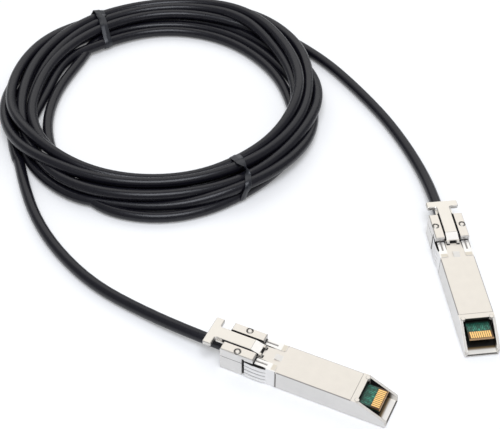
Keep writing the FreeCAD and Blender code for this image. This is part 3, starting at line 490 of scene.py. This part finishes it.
# %% Sweep a strip
def swept_strip(name, bearing, way):
    """The mesh of one strip, with the bundle's section lying flat."""
    places, turned, width = strip_path(bearing, way)
    profile = strip_profile()
    line = bpy.data.curves.new(name, "CURVE")
    line.dimensions = "3D"
    line.twist_mode = "Z_UP"
    path = line.splines.new("NURBS")
    path.points.add(len(places) - 1)
    for point, place, lean, wide in zip(path.points, places, turned, width):
        point.co = (*(Vector(place) * MM), 1)
        point.tilt = lean
        point.radius = wide
    path.order_u = 4
    path.use_endpoint_u = True
    path.resolution_u = 3
    line.bevel_mode = "OBJECT"
    line.bevel_object = profile
    line.use_fill_caps = True
    sweep = bpy.data.objects.new(name, line)
    scene.collection.objects.link(profile)
    scene.collection.objects.link(sweep)
    made = sweep.evaluated_get(bpy.context.evaluated_depsgraph_get())
    mesh = bpy.data.meshes.new_from_object(made)
    bpy.data.objects.remove(sweep)
    bpy.data.objects.remove(profile)
    return mesh


print("sweep ready")

# %% [markdown]
# A matrix stands each mesh across the coil at its tie's bearing: the section's two directions
# become outward and up, and the third runs along the cable. Corners that meet are welded, so
# that the strip shades smoothly.

# %% The two strips in place
WELD = 0.001 * MM


def tie(name, bearing, way):
    """A finished strip, standing across the coil at this bearing."""
    mesh = swept_strip(name, bearing, way)
    angle = math.radians(bearing + COIL_TURN)
    outward = Vector((math.cos(angle), math.sin(angle), 0))
    ahead = Vector((-math.sin(angle), math.cos(angle), 0))
    stand = Matrix((outward, Vector((0, 0, 1)), ahead)).transposed().to_4x4()
    middle = Matrix.Translation(Vector((*COIL_MIDDLE, 0)) * MM)
    mesh.transform(middle @ stand)
    strip = bpy.data.objects.new(name, mesh)
    scene.collection.objects.link(strip)
    shell = bmesh.new()
    shell.from_mesh(mesh)
    bmesh.ops.remove_doubles(shell, verts=shell.verts, dist=WELD)
    bmesh.ops.recalc_face_normals(shell, faces=shell.faces)
    for face in shell.faces:
        face.smooth = True
    shell.to_mesh(mesh)
    shell.free()
    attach(strip, "cable_assembly")
    lowest = min(corner.co.z for corner in mesh.vertices) / MM
    print(name, len(mesh.polygons), "faces, lowest", round(lowest, 2), "mm")
    return strip


strap_1 = tie("strap_1", TIE_BEARINGS[0], TIE_1_WAY)
strap_2 = tie("strap_2", TIE_BEARINGS[1], TIE_2_WAY)
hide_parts("tie_1")
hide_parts("tie_2")

# %% [markdown]
# The cable is soft, which a drawn curve doesn't say.

# %% [markdown]
# Materials come from the surfaces of the real parts. Every plug part reads its own position,
# so a mark such as a joint line or the painted shade in a gap is placed by the same
# millimetres as the model.
# Shared groups do the work that many materials need. These helpers build a group, place one
# in a tree, and mix two colours.

# %% Helpers for node trees
def new_group(name, inputs, outputs):
    """An empty shader group with these sockets, and its two end nodes."""
    group = bpy.data.node_groups.new(name, "ShaderNodeTree")
    for direction, sockets in (("INPUT", inputs), ("OUTPUT", outputs)):
        for label, kind in sockets.items():
            group.interface.new_socket(label, in_out=direction, socket_type="NodeSocket" + kind)
    return group, group.nodes.new("NodeGroupInput").outputs, group.nodes.new("NodeGroupOutput").inputs


def vector_node(tree, operation, *values):
    """One Vector Math node; its vector is returned."""
    node = tree.nodes.new("ShaderNodeVectorMath")
    node.operation = operation
    for socket, value in zip(node.inputs, values):
        feed(tree, socket, value)
    return node.outputs["Vector"]


def place_group(tree, group, **values):
    """Put a shared group into a tree and feed its inputs; its outputs are returned."""
    node = tree.nodes.new("ShaderNodeGroup")
    node.node_tree = group
    for label, value in values.items():
        feed(tree, node.inputs[label.replace("_", " ")], value)
    return node.outputs


def blend(tree, factor, first, second):
    """Mix two colours by a factor."""
    node = tree.nodes.new("ShaderNodeMix")
    node.data_type = "RGBA"
    feed(tree, node.inputs["Factor"], factor)
    feed(tree, node.inputs["A"], first)
    feed(tree, node.inputs["B"], second)
    return node.outputs["Result"]


print("group helpers ready")

# %% [markdown]
# Both sides of a plug are alike, so one mark can serve both. The first shared group turns
# metres into millimetres and folds left onto right.

# %% Shared group: where a point lies on its plug
fold, ins, outs = new_group("folded_place", {"Place": "Vector"}, {"Folded": "Vector"})
parts = fold.nodes.new("ShaderNodeSeparateXYZ")
in_mm = vector_node(fold, "MULTIPLY", ins["Place"], (1 / MM, 1 / MM, 1 / MM))
fold.links.new(in_mm, parts.inputs[0])
joined = fold.nodes.new("ShaderNodeCombineXYZ")
feed(fold, joined.inputs["X"], parts.outputs["X"])
feed(fold, joined.inputs["Y"], math_node(fold, "ABSOLUTE", parts.outputs["Y"]))
feed(fold, joined.inputs["Z"], parts.outputs["Z"])
feed(fold, outs["Folded"], joined.outputs[0])
print(fold.name)

# %% [markdown]
# Two more groups mark places. A patch is one inside a block with soft sides, and a ring is
# one between two radii round an upright axis. Joint lines, painted shade in gaps and recesses,
# and painted light are all patches; the painted shade in the sunk edge round a rivet is a ring.
# The marks stay on the part when it moves.

# %% Shared groups: patch and ring
patch, ins, outs = new_group(
    "patch", {"Place": "Vector", "Middle": "Vector", "Half": "Vector", "Soft": "Vector"},
    {"Mask": "Float"})
off = vector_node(patch, "ABSOLUTE", vector_node(patch, "SUBTRACT", ins["Place"], ins["Middle"]))
depth = vector_node(patch, "DIVIDE", vector_node(patch, "SUBTRACT", ins["Half"], off), ins["Soft"])
sides = patch.nodes.new("ShaderNodeSeparateXYZ")
feed(patch, sides.inputs[0], depth)
least = math_node(patch, "MINIMUM", sides.outputs["X"], sides.outputs["Y"])
feed(patch, outs["Mask"], math_node(patch, "MINIMUM", least, sides.outputs["Z"], clamp=True))

RING_CRISPNESS = 16

ring, ins, outs = new_group(
    "ring", {"Place": "Vector", "Middle": "Vector", "Inner": "Float", "Outer": "Float"},
    {"Mask": "Float"})
flat = vector_node(ring, "MULTIPLY", vector_node(ring, "SUBTRACT", ins["Place"], ins["Middle"]), (1, 1, 0))
reach = ring.nodes.new("ShaderNodeVectorMath")
reach.operation = "LENGTH"
feed(ring, reach.inputs[0], flat)
inner_side = math_node(ring, "SUBTRACT", reach.outputs["Value"], ins["Inner"])
outer_side = math_node(ring, "SUBTRACT", ins["Outer"], reach.outputs["Value"])
thin = math_node(ring, "MINIMUM", inner_side, outer_side)
feed(ring, outs["Mask"], math_node(ring, "MULTIPLY", thin, RING_CRISPNESS, clamp=True))
print(patch.name, ring.name)

# %% [markdown]
# The last shared group is the surface itself. Plated die-casting is never perfectly even: the
# plating has a fine tooth, and large soft clouds where it took a little differently. Two
# noises make them. The fine one drives a bump, and the large one shifts colour and roughness.

# %% Shared group: fine grain and clouds
satin, ins, outs = new_group(
    "satin", {"Place": "Vector", "Grain": "Float", "Clouds": "Float"},
    {"Height": "Float", "Cloud": "Float"})
for label, size, detail in (("Height", "Grain", 4.0), ("Cloud", "Clouds", 3.0)):
    noise = satin.nodes.new("ShaderNodeTexNoise")
    feed(satin, noise.inputs["Vector"], ins["Place"])
    feed(satin, noise.inputs["Scale"], ins[size])
    noise.inputs["Detail"].default_value = detail
    feed(satin, outs[label], noise.outputs["Fac"])
print(satin.name)

# %% [markdown]
# Plug B is plug A moved and turned, so a Mapping node brings its points back to plug A's
# frame, and every mark is written once for both plugs. A second helper finishes a material
# with its colour, its roughness and a fine bump, and a third lets the clouds swing the
# roughness to both sides of its middle.

# %% A material that knows its place
PLUGS = {
    "a": ((0, 0, 0), 0),
    "b": ((0.0422, 0.0770, 0), math.radians(-58.1)),
}
BUMP_DEPTH = 0.02 * MM


def start_material(name, plug):
    """A new material, with the folded place in millimetres on this plug."""
    material = bpy.data.materials.new(name)
    material.use_nodes = True
    tree = material.node_tree
    where = tree.nodes.new("ShaderNodeTexCoord")
    mapping = tree.nodes.new("ShaderNodeMapping")
    mapping.vector_type = "TEXTURE"
    location, heading = PLUGS[plug]
    mapping.inputs["Location"].default_value = location
    mapping.inputs["Rotation"].default_value = (0, 0, heading)
    tree.links.new(where.outputs["Object"], mapping.inputs["Vector"])
    place = place_group(tree, fold, Place=mapping.outputs[0])["Folded"]
    return material, tree, place


def finish_surface(tree, surface, colour, roughness, tooth):
    """Colour, roughness and a fine bump on the material's own shader."""
    shader = tree.nodes["Principled BSDF"]
    feed(tree, shader.inputs["Base Color"], colour)
    feed(tree, shader.inputs["Roughness"], roughness)
    bump = tree.nodes.new("ShaderNodeBump")
    bump.inputs["Strength"].default_value = tooth
    bump.inputs["Distance"].default_value = BUMP_DEPTH
    feed(tree, bump.inputs["Height"], surface["Height"])
    tree.links.new(bump.outputs["Normal"], shader.inputs["Normal"])
    return shader


def clouded_roughness(tree, surface, roughness, swing):
    """Roughness that the clouds carry to both sides of its middle."""
    return math_node(tree, "MULTIPLY_ADD", surface["Cloud"], swing, roughness - swing / 2)


print("place helpers ready for", len(PLUGS), "plugs")

# %% [markdown]
# The shell, its cap and cover, the latch, the collar and the rivets are bright nickel or
# steel. They share one recipe: a warm painted light on faces that look up and a cooler, darker
# painted shade on the sides, clouds in both, then a list of marks, many of them painted shade
# and a few painted light. A mark also takes the metal away: a gap painted full of shadow
# doesn't shine, and a pale painted highlight stays even where the metal mirrors the room.

# %% Marked metal
METAL_GRAIN, METAL_CLOUDS = 7.0, 0.22
LIT_TOP_GAIN = 1.2
MARK_ROUGHENS = 0.3


def shade(tone, factor):
    """A colour made lighter or darker."""
    return (*(part * factor for part in tone), 1)


def marked_metal(name, plug, top, side, roughness, marks=(), rings=(), tooth=0.12):
    """Bright metal, painted light on top and shade on the sides, and a list of (colour, middle, half,
    soft) marks.
    """
    material, tree, place = start_material(f"{name}_{plug}", plug)
    surface = place_group(tree, satin, Place=place, Grain=METAL_GRAIN, Clouds=METAL_CLOUDS)
    facing = tree.nodes.new("ShaderNodeSeparateXYZ")
    feed(tree, facing.inputs[0], tree.nodes["Texture Coordinate"].outputs["Normal"])
    # Painted light and shade: faces that look up take the lit top tone, and the sides take the darker one.
    lit_share = math_node(tree, "MULTIPLY", facing.outputs["Z"], LIT_TOP_GAIN, clamp=True)
    clouded_lit_top = blend(tree, surface["Cloud"], shade(top, 0.93), shade(top, 1.05))
    clouded_shaded_side = blend(tree, surface["Cloud"], shade(side, 0.90), shade(side, 1.06))
    colour = blend(tree, lit_share, clouded_shaded_side, clouded_lit_top)
    dark = 0.0
    # Most marks are painted shade in gaps and recesses; a few are painted light.
    for tone, middle, half, soft in marks:
        mask = place_group(tree, patch, Place=place, Middle=middle, Half=half, Soft=soft)["Mask"]
        colour = blend(tree, mask, colour, tone)
        dark = math_node(tree, "MAXIMUM", dark, mask)
    for tone, middle, inner, outer in rings:
        sunk = place_group(tree, ring, Place=place, Middle=middle, Inner=inner, Outer=outer)
        colour = blend(tree, sunk["Mask"], colour, tone)
        dark = math_node(tree, "MAXIMUM", dark, sunk["Mask"])
    worn = clouded_roughness(tree, surface, roughness, 0.10)
    rough = math_node(tree, "MULTIPLY_ADD", dark, MARK_ROUGHENS, worn, clamp=True)
    shader = finish_surface(tree, surface, colour, rough, tooth)
    feed(tree, shader.inputs["Metallic"], math_node(tree, "SUBTRACT", 1.0, dark))
    return material


def wear(material, *names):
    """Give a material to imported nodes."""
    for name in names:
        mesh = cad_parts[name].data
        mesh.materials.clear()
        mesh.materials.append(material)


print("metal recipe ready")

# %% [markdown]
# Few tones are enough for all the marks. Black is painted shade in deep gaps, under parts and
# behind the card, and the next darkest tone is painted shade in shallow gaps. Grey and the near
# black seam tone draw joint and edge lines, and the seam tone is also painted shade round the
# rivets. Bronze is a warmer painted shade in the mouth, and the creams are painted light on
# faces that catch it. CRISP is the softness of a mark with sharp sides.

# %% Tones of the marks
SHADE_BLACK = (0.006, 0.005, 0.004, 1)
SHALLOW_SHADE = (0.03, 0.026, 0.022, 1)
WARM_SHADE = (0.26, 0.17, 0.07, 1)
GREY = (0.30, 0.28, 0.26, 1)
SEAM_AND_SHADE = (0.10, 0.092, 0.082, 1)
HIGHLIGHT_CREAM = (0.97, 0.93, 0.86, 1)
LIT_RIM_CREAM = (0.70, 0.665, 0.61, 1)
LIT_BOSS_CREAM = (0.78, 0.745, 0.69, 1)
STAKE_EDGE = (0.5, 0.47, 0.43, 1)
TAB_BEIGE = (0.74, 0.67, 0.55, 1)
CRISP = (0.04, 0.04, 0.04)
print("tones ready, black is", SHADE_BLACK)

# %% [markdown]
# The marks of each metal part, in millimetres on the plug. Each row is a tone, the middle of
# the mark, half its size, and how soft each side is. The largest is the painted shade inside
# the mouth: black behind the card, a warmer bronze at its front, then painted light on the
# floor at the nose.

# %% Marks on the shell, the cap and the cover
# Painted light and shade: a warm lit tone for faces that look up, and a darker one for the sides.
SHELL_LIT_TOP, SHELL_SHADED_SIDE = (0.79, 0.745, 0.68), (0.72, 0.705, 0.685)

TOP_EDGE = (GREY, (17.3, 6.62, 8.36), (14.2, 0.26, 0.17), (0.1, 0.05, 0.05))
# Painted shadow under the rails' overhang, along the top of the fingers.
FINGER_SHADOW = (SHADE_BLACK, (-5.4, 6.3, 8.15), (4.1, 0.5, 0.42), (0.6, 0.03, 0.05))
SHELL_MARKS = [
    # Painted light on the mouth floor at the nose, then painted shade in the mouth: bronze and black
    # behind the card, black under the bar and on the inner walls.
    (HIGHLIGHT_CREAM, (43.9, 0, 2.0), (2.2, 5.63, 1.6), (1.2, 0.02, 0.5)),
    (WARM_SHADE, (36.4, 0, 3.9), (6.4, 5.63, 3.36), (0.9, 0.02, 0.05)),
    (SHADE_BLACK, (36.0, 0, 3.9), (6.2, 5.63, 3.36), (1.2, 0.02, 0.05)),
    (SHADE_BLACK, (35.3, 0, 7.8), (1.66, 5.63, 0.62), CRISP),
    (SHADE_BLACK, (38.0, 5.60, 4.6), (5.6, 0.06, 3.4), (2.2, 0.02, 0.05)),
    # A painted lit tone on the tops of the mouth's walls.
    (LIT_RIM_CREAM, (39.6, 6.19, 4.9), (5.7, 0.45, 3.55), CRISP),
    # Painted shade behind the fingers, in front of the collar's edge and in the gap at the cap's front
    # end.
    (SHALLOW_SHADE, (-3.3, 6.3, 4.0), (6.1, 0.2, 4.2), CRISP),
    (SHALLOW_SHADE, (2.97, 6.65, 4.2), (0.16, 0.3, 4.4), CRISP),
    (SHADE_BLACK, (-9.9, 6.2, 4.55), (0.47, 0.6, 4.6), CRISP),
    (SEAM_AND_SHADE, (-14.2, 6.6, 6.7), (4.0, 0.25, 0.12), CRISP),
    (SEAM_AND_SHADE, (45.0, 0, 0.80), (0.5, 6.0, 0.20), CRISP),
    TOP_EDGE,
    FINGER_SHADOW,
]
STAKE = (33.5, 5.4, 0)
SHELL_RINGS = [(STAKE_EDGE, STAKE, 0.70, 0.94)]
# Painted shade in the gaps beside the latch stem, at the cap's front end and under its front edge, and a
# dark parting line.
CAP_MARKS = [
    (SHADE_BLACK, (-12.9, 2.74, 10.0), (7.2, 0.46, 1.1), CRISP),
    (SHADE_BLACK, (-9.9, 6.2, 7.5), (0.47, 0.6, 1.7), CRISP),
    (SEAM_AND_SHADE, (-14.2, 6.6, 6.76), (4.9, 0.25, 0.10), CRISP),
    (SHADE_BLACK, (-7.6, 4.8, 8.5), (2.0, 1.95, 0.2), CRISP),
]
RIVET_SPOT = (-12.6, 5.3, 0)
# Painted shade in the sunk edge round each rivet head.
CAP_SHADE_RINGS = [(SEAM_AND_SHADE, RIVET_SPOT, 0.96, 1.39)]
# Painted shade in front of the rails, beside the strips, under the latch tip and round the tines, and a
# painted lit tone on the boss.
COVER_MARKS = [
    TOP_EDGE,
    FINGER_SHADOW,
    (SHADE_BLACK, (-6.0, 4.7, 8.5), (0.7, 1.9, 0.1), (0.1, 0.1, 0.04)),
    (GREY, (-3.3, 4.82, 8.5), (2.6, 0.34, 0.1), (0.3, 0.05, 0.04)),
    (SHADE_BLACK, (-3.9, 3.30, 8.5), (2.6, 0.20, 0.1), (1.6, 0.08, 0.04)),
    (SHADE_BLACK, (-5.4, 0, 8.5), (0.75, 1.5, 0.1), (0.12, 0.2, 0.04)),
    (SHADE_BLACK, (-4.25, 1.95, 8.5), (0.45, 0.75, 0.1), (0.2, 0.2, 0.04)),
    (LIT_BOSS_CREAM, (1.2, 0, 8.8), (1.5, 1.35, 0.35), CRISP),
]
print("shell marks", len(SHELL_MARKS), "cap", len(CAP_MARKS), "cover", len(COVER_MARKS))

# %% [markdown]
# The three big parts of each plug share their painted lit top tone and shaded side tone, so
# that they read as one piece of metal. Each plug has materials of its own, because a material
# reads places in its own plug.

# %% Dress the shell, the cap and the cover
for plug in PLUGS:
    wear(marked_metal("shell_nickel", plug, SHELL_LIT_TOP, SHELL_SHADED_SIDE, 0.40, SHELL_MARKS, SHELL_RINGS),
         f"plug_{plug}_base_housing")
    wear(marked_metal("cap_nickel", plug, SHELL_LIT_TOP, SHELL_SHADED_SIDE, 0.40, CAP_MARKS, CAP_SHADE_RINGS),
         f"plug_{plug}_rear_cap")
    wear(marked_metal("cover_nickel", plug, SHELL_LIT_TOP, SHELL_SHADED_SIDE, 0.42, COVER_MARKS),
         f"plug_{plug}_cover_plate")
print("shells dressed, materials", len(bpy.data.materials))

# %% [markdown]
# The latch is stamped and a touch smoother, with painted shade on its flanks where it runs
# between the rails and a painted highlight on its sloped tip. The collar is thin bright spring
# sheet: its top strips get the lightest painted top tone, and its tabs are a darker beige.
# Rivets match the cap on top, with dark painted shade on their sides, and the cap has painted
# shade in a ring round each head.

# %% Marks on the latch, the collar and the rivets
# Painted light and shade: each part has a lit tone for its top and a darker one for its sides.
LATCH_LIT_TOP, LATCH_SHADED_SIDE = (0.80, 0.76, 0.695), (0.66, 0.64, 0.61)
COLLAR_LIT_TOP, COLLAR_SHADED_SIDE = (0.88, 0.865, 0.84), (0.80, 0.79, 0.78)
RIVET_LIT_TOP, RIVET_SHADED_SIDE = (0.80, 0.76, 0.70), (0.30, 0.28, 0.26)
SPRING_LIT_TOP, SPRING_SHADED_SIDE = (0.62, 0.61, 0.60), (0.55, 0.54, 0.53)
# A painted highlight on the sloped tip, painted shade on the flanks and round the tines, and a grey line
# at the bend.
LATCH_MARKS = [
    (HIGHLIGHT_CREAM, (-7.1, 0, 9.9), (1.65, 2.52, 1.0), CRISP),
    (SHADE_BLACK, (-12.9, 2.72, 9.9), (7.2, 0.32, 1.0), CRISP),
    (SHALLOW_SHADE, (-5.2, 1.95, 8.7), (0.9, 0.75, 0.25), CRISP),
    (GREY, (-8.8, 0, 10.8), (0.07, 2.5, 0.1), CRISP),
]
COLLAR_MARKS = [
    (GREY, (2.62, 6.75, 4.2), (0.16, 0.35, 4.4), CRISP),
    # A darker beige on the tab ends.
    (TAB_BEIGE, (1.5, 4.8, 8.7), (1.0, 1.5, 0.15), (0.4, 0.3, 0.04)),
]
for plug in PLUGS:
    wear(marked_metal("latch_steel", plug, LATCH_LIT_TOP, LATCH_SHADED_SIDE, 0.38, LATCH_MARKS),
         f"plug_{plug}_latch_slide")
    wear(marked_metal("collar_steel", plug, COLLAR_LIT_TOP, COLLAR_SHADED_SIDE, 0.34, COLLAR_MARKS, tooth=0.05),
         f"plug_{plug}_emi_collar")
    wear(marked_metal("rivet_steel", plug, RIVET_LIT_TOP, RIVET_SHADED_SIDE, 0.45),
         f"plug_{plug}_rivets")
    wear(marked_metal("spring_steel", plug, SPRING_LIT_TOP, SPRING_SHADED_SIDE, 0.30),
         f"plug_{plug}_latch_spring")
print("latch marks", len(LATCH_MARKS), "collar", len(COLLAR_MARKS))

# %% [markdown]
# The card is a green circuit board. Under the green lacquer, copper traces fan out from the
# contacts, a little lighter than the board; a wave texture with some distortion draws them.
# The board is dark at its back and sides, where the mouth shades it. No lacquer is laid round
# the contacts, which stand on bare brown board, or along the paler bevelled front edge.

# %% Circuit card
LACQUER = (0.004, 0.062, 0.038, 1)
TRACE = (0.040, 0.33, 0.215, 1)
BARE_BOARD = (0.075, 0.030, 0.007, 1)
EDGE_BOARD = (0.42, 0.26, 0.13, 1)
TRACE_WAVE = {"Scale": 0.5, "Distortion": 5.0, "Detail": 1.5, "Detail Scale": 0.45}
TRACE_EDGE, TRACE_GAPS = (3.0, -1.3), (5.0, -2.0)
# Painted shade on the back and sides of the board, where the mouth shades it.
CARD_MARKS = [
    (SHADE_BLACK, (32.0, 0, 6.2), (3.6, 7.0, 0.4), (2.0, 1.0, 0.1)),
    (SHADE_BLACK, (36.0, 7.0, 6.0), (3.4, 3.2, 0.8), (0.8, 1.0, 0.1)),
    (BARE_BOARD, (40.2, 0, 6.1), (2.2, 7.0, 0.6), (0.5, 1.0, 0.1)),
    (EDGE_BOARD, (41.9, 0, 5.8), (0.42, 7.0, 0.75), CRISP),
]


def card_material(plug):
    """Green lacquer over traces, dark at the back and sides, bare round the contacts."""
    material, tree, place = start_material(f"circuit_card_{plug}", plug)
    surface = place_group(tree, satin, Place=place, Grain=9.0, Clouds=0.9)
    wave = tree.nodes.new("ShaderNodeTexWave")
    wave.bands_direction = "Y"
    feed(tree, wave.inputs["Vector"], place)
    for label, value in TRACE_WAVE.items():
        wave.inputs[label].default_value = value
    lines = math_node(tree, "MULTIPLY_ADD", wave.outputs["Fac"], *TRACE_EDGE, clamp=True)
    broken = math_node(tree, "MULTIPLY_ADD", surface["Cloud"], *TRACE_GAPS, clamp=True)
    colour = blend(tree, math_node(tree, "MULTIPLY", lines, broken), LACQUER, TRACE)
    for tone, middle, half, soft in CARD_MARKS:
        mask = place_group(tree, patch, Place=place, Middle=middle, Half=half, Soft=soft)["Mask"]
        colour = blend(tree, mask, colour, tone)
    finish_surface(tree, surface, colour, 0.35, 0.08)
    return material


for plug in PLUGS:
    wear(card_material(plug), f"plug_{plug}_paddle_card")
print("card marks", len(CARD_MARKS))

# %% [markdown]
# The contacts and the parts inside a plug need no marks. One even recipe serves them all, and
# a table gives each one its colour, how much it is a metal, and how rough it is.

# %% Contacts and small parts
def plain_material(name, plug, colour, metallic, roughness, tooth=0.1, grain=6.0):
    """One even finish with clouds and grain, for small parts, the jacket and the straps."""
    material, tree, place = start_material(f"{name}_{plug}", plug)
    surface = place_group(tree, satin, Place=place, Grain=grain, Clouds=0.5)
    clouded = blend(tree, surface["Cloud"], shade(colour, 0.85), shade(colour, 1.15))
    rough = clouded_roughness(tree, surface, roughness, 0.16)
    shader = finish_surface(tree, surface, clouded, rough, tooth)
    shader.inputs["Metallic"].default_value = metallic
    return material


SMALL_PARTS = [
    ("contact_pads", "gold_contact", (0.98, 0.62, 0.24), 1.0, 0.32),
    ("memory_chip", "chip_body", (0.018, 0.018, 0.020), 0.0, 0.55),
    ("coupling_capacitors", "capacitor_body", (0.42, 0.30, 0.18), 0.0, 0.40),
    ("wire_potting", "potting", (0.06, 0.06, 0.065), 0.0, 0.25),
    ("twinax_pairs", "wire_insulation", (0.78, 0.78, 0.76), 0.0, 0.50),
    ("crimp_ferrule", "ferrule_metal", (0.70, 0.66, 0.58), 1.0, 0.40),
]
for plug in PLUGS:
    for part, finish, colour, metallic, roughness in SMALL_PARTS:
        wear(plain_material(finish, plug, colour, metallic, roughness), f"plug_{plug}_{part}")
print(len(SMALL_PARTS), "small parts on each plug")

# %% [markdown]
# The jacket is soft black plastic with a satin skin. Its colour is nearly nothing, so its
# look is all in the highlight: a fine tooth breaks it up and the clouds make it a little
# sharper here and softer there. The strips of the ties are a little lighter, with a finer
# grain and a softer highlight.

# %% Jacket and straps
JACKET_TONE, STRAP_TONE = (0.0058, 0.0055, 0.0095), (0.012, 0.0135, 0.019)
JACKET_GLOSS = 0.38

jacket = plain_material("jacket", "a", JACKET_TONE, 0.0, 0.29, tooth=0.35, grain=2.6)
jacket.node_tree.nodes["Principled BSDF"].inputs["Specular IOR Level"].default_value = JACKET_GLOSS
cable_line.materials.append(jacket)
strap_black = plain_material("strap_black", "a", STRAP_TONE, 0.0, 0.34, tooth=0.25, grain=3.5)
for strap in (strap_1, strap_2):
    strap.data.materials.append(strap_black)
for name in ("cable_tail_a", "cable_coil", "cable_tail_b"):
    wear(jacket, name)
wear(strap_black, "tie_1", "tie_2")
print("materials", len(bpy.data.materials))
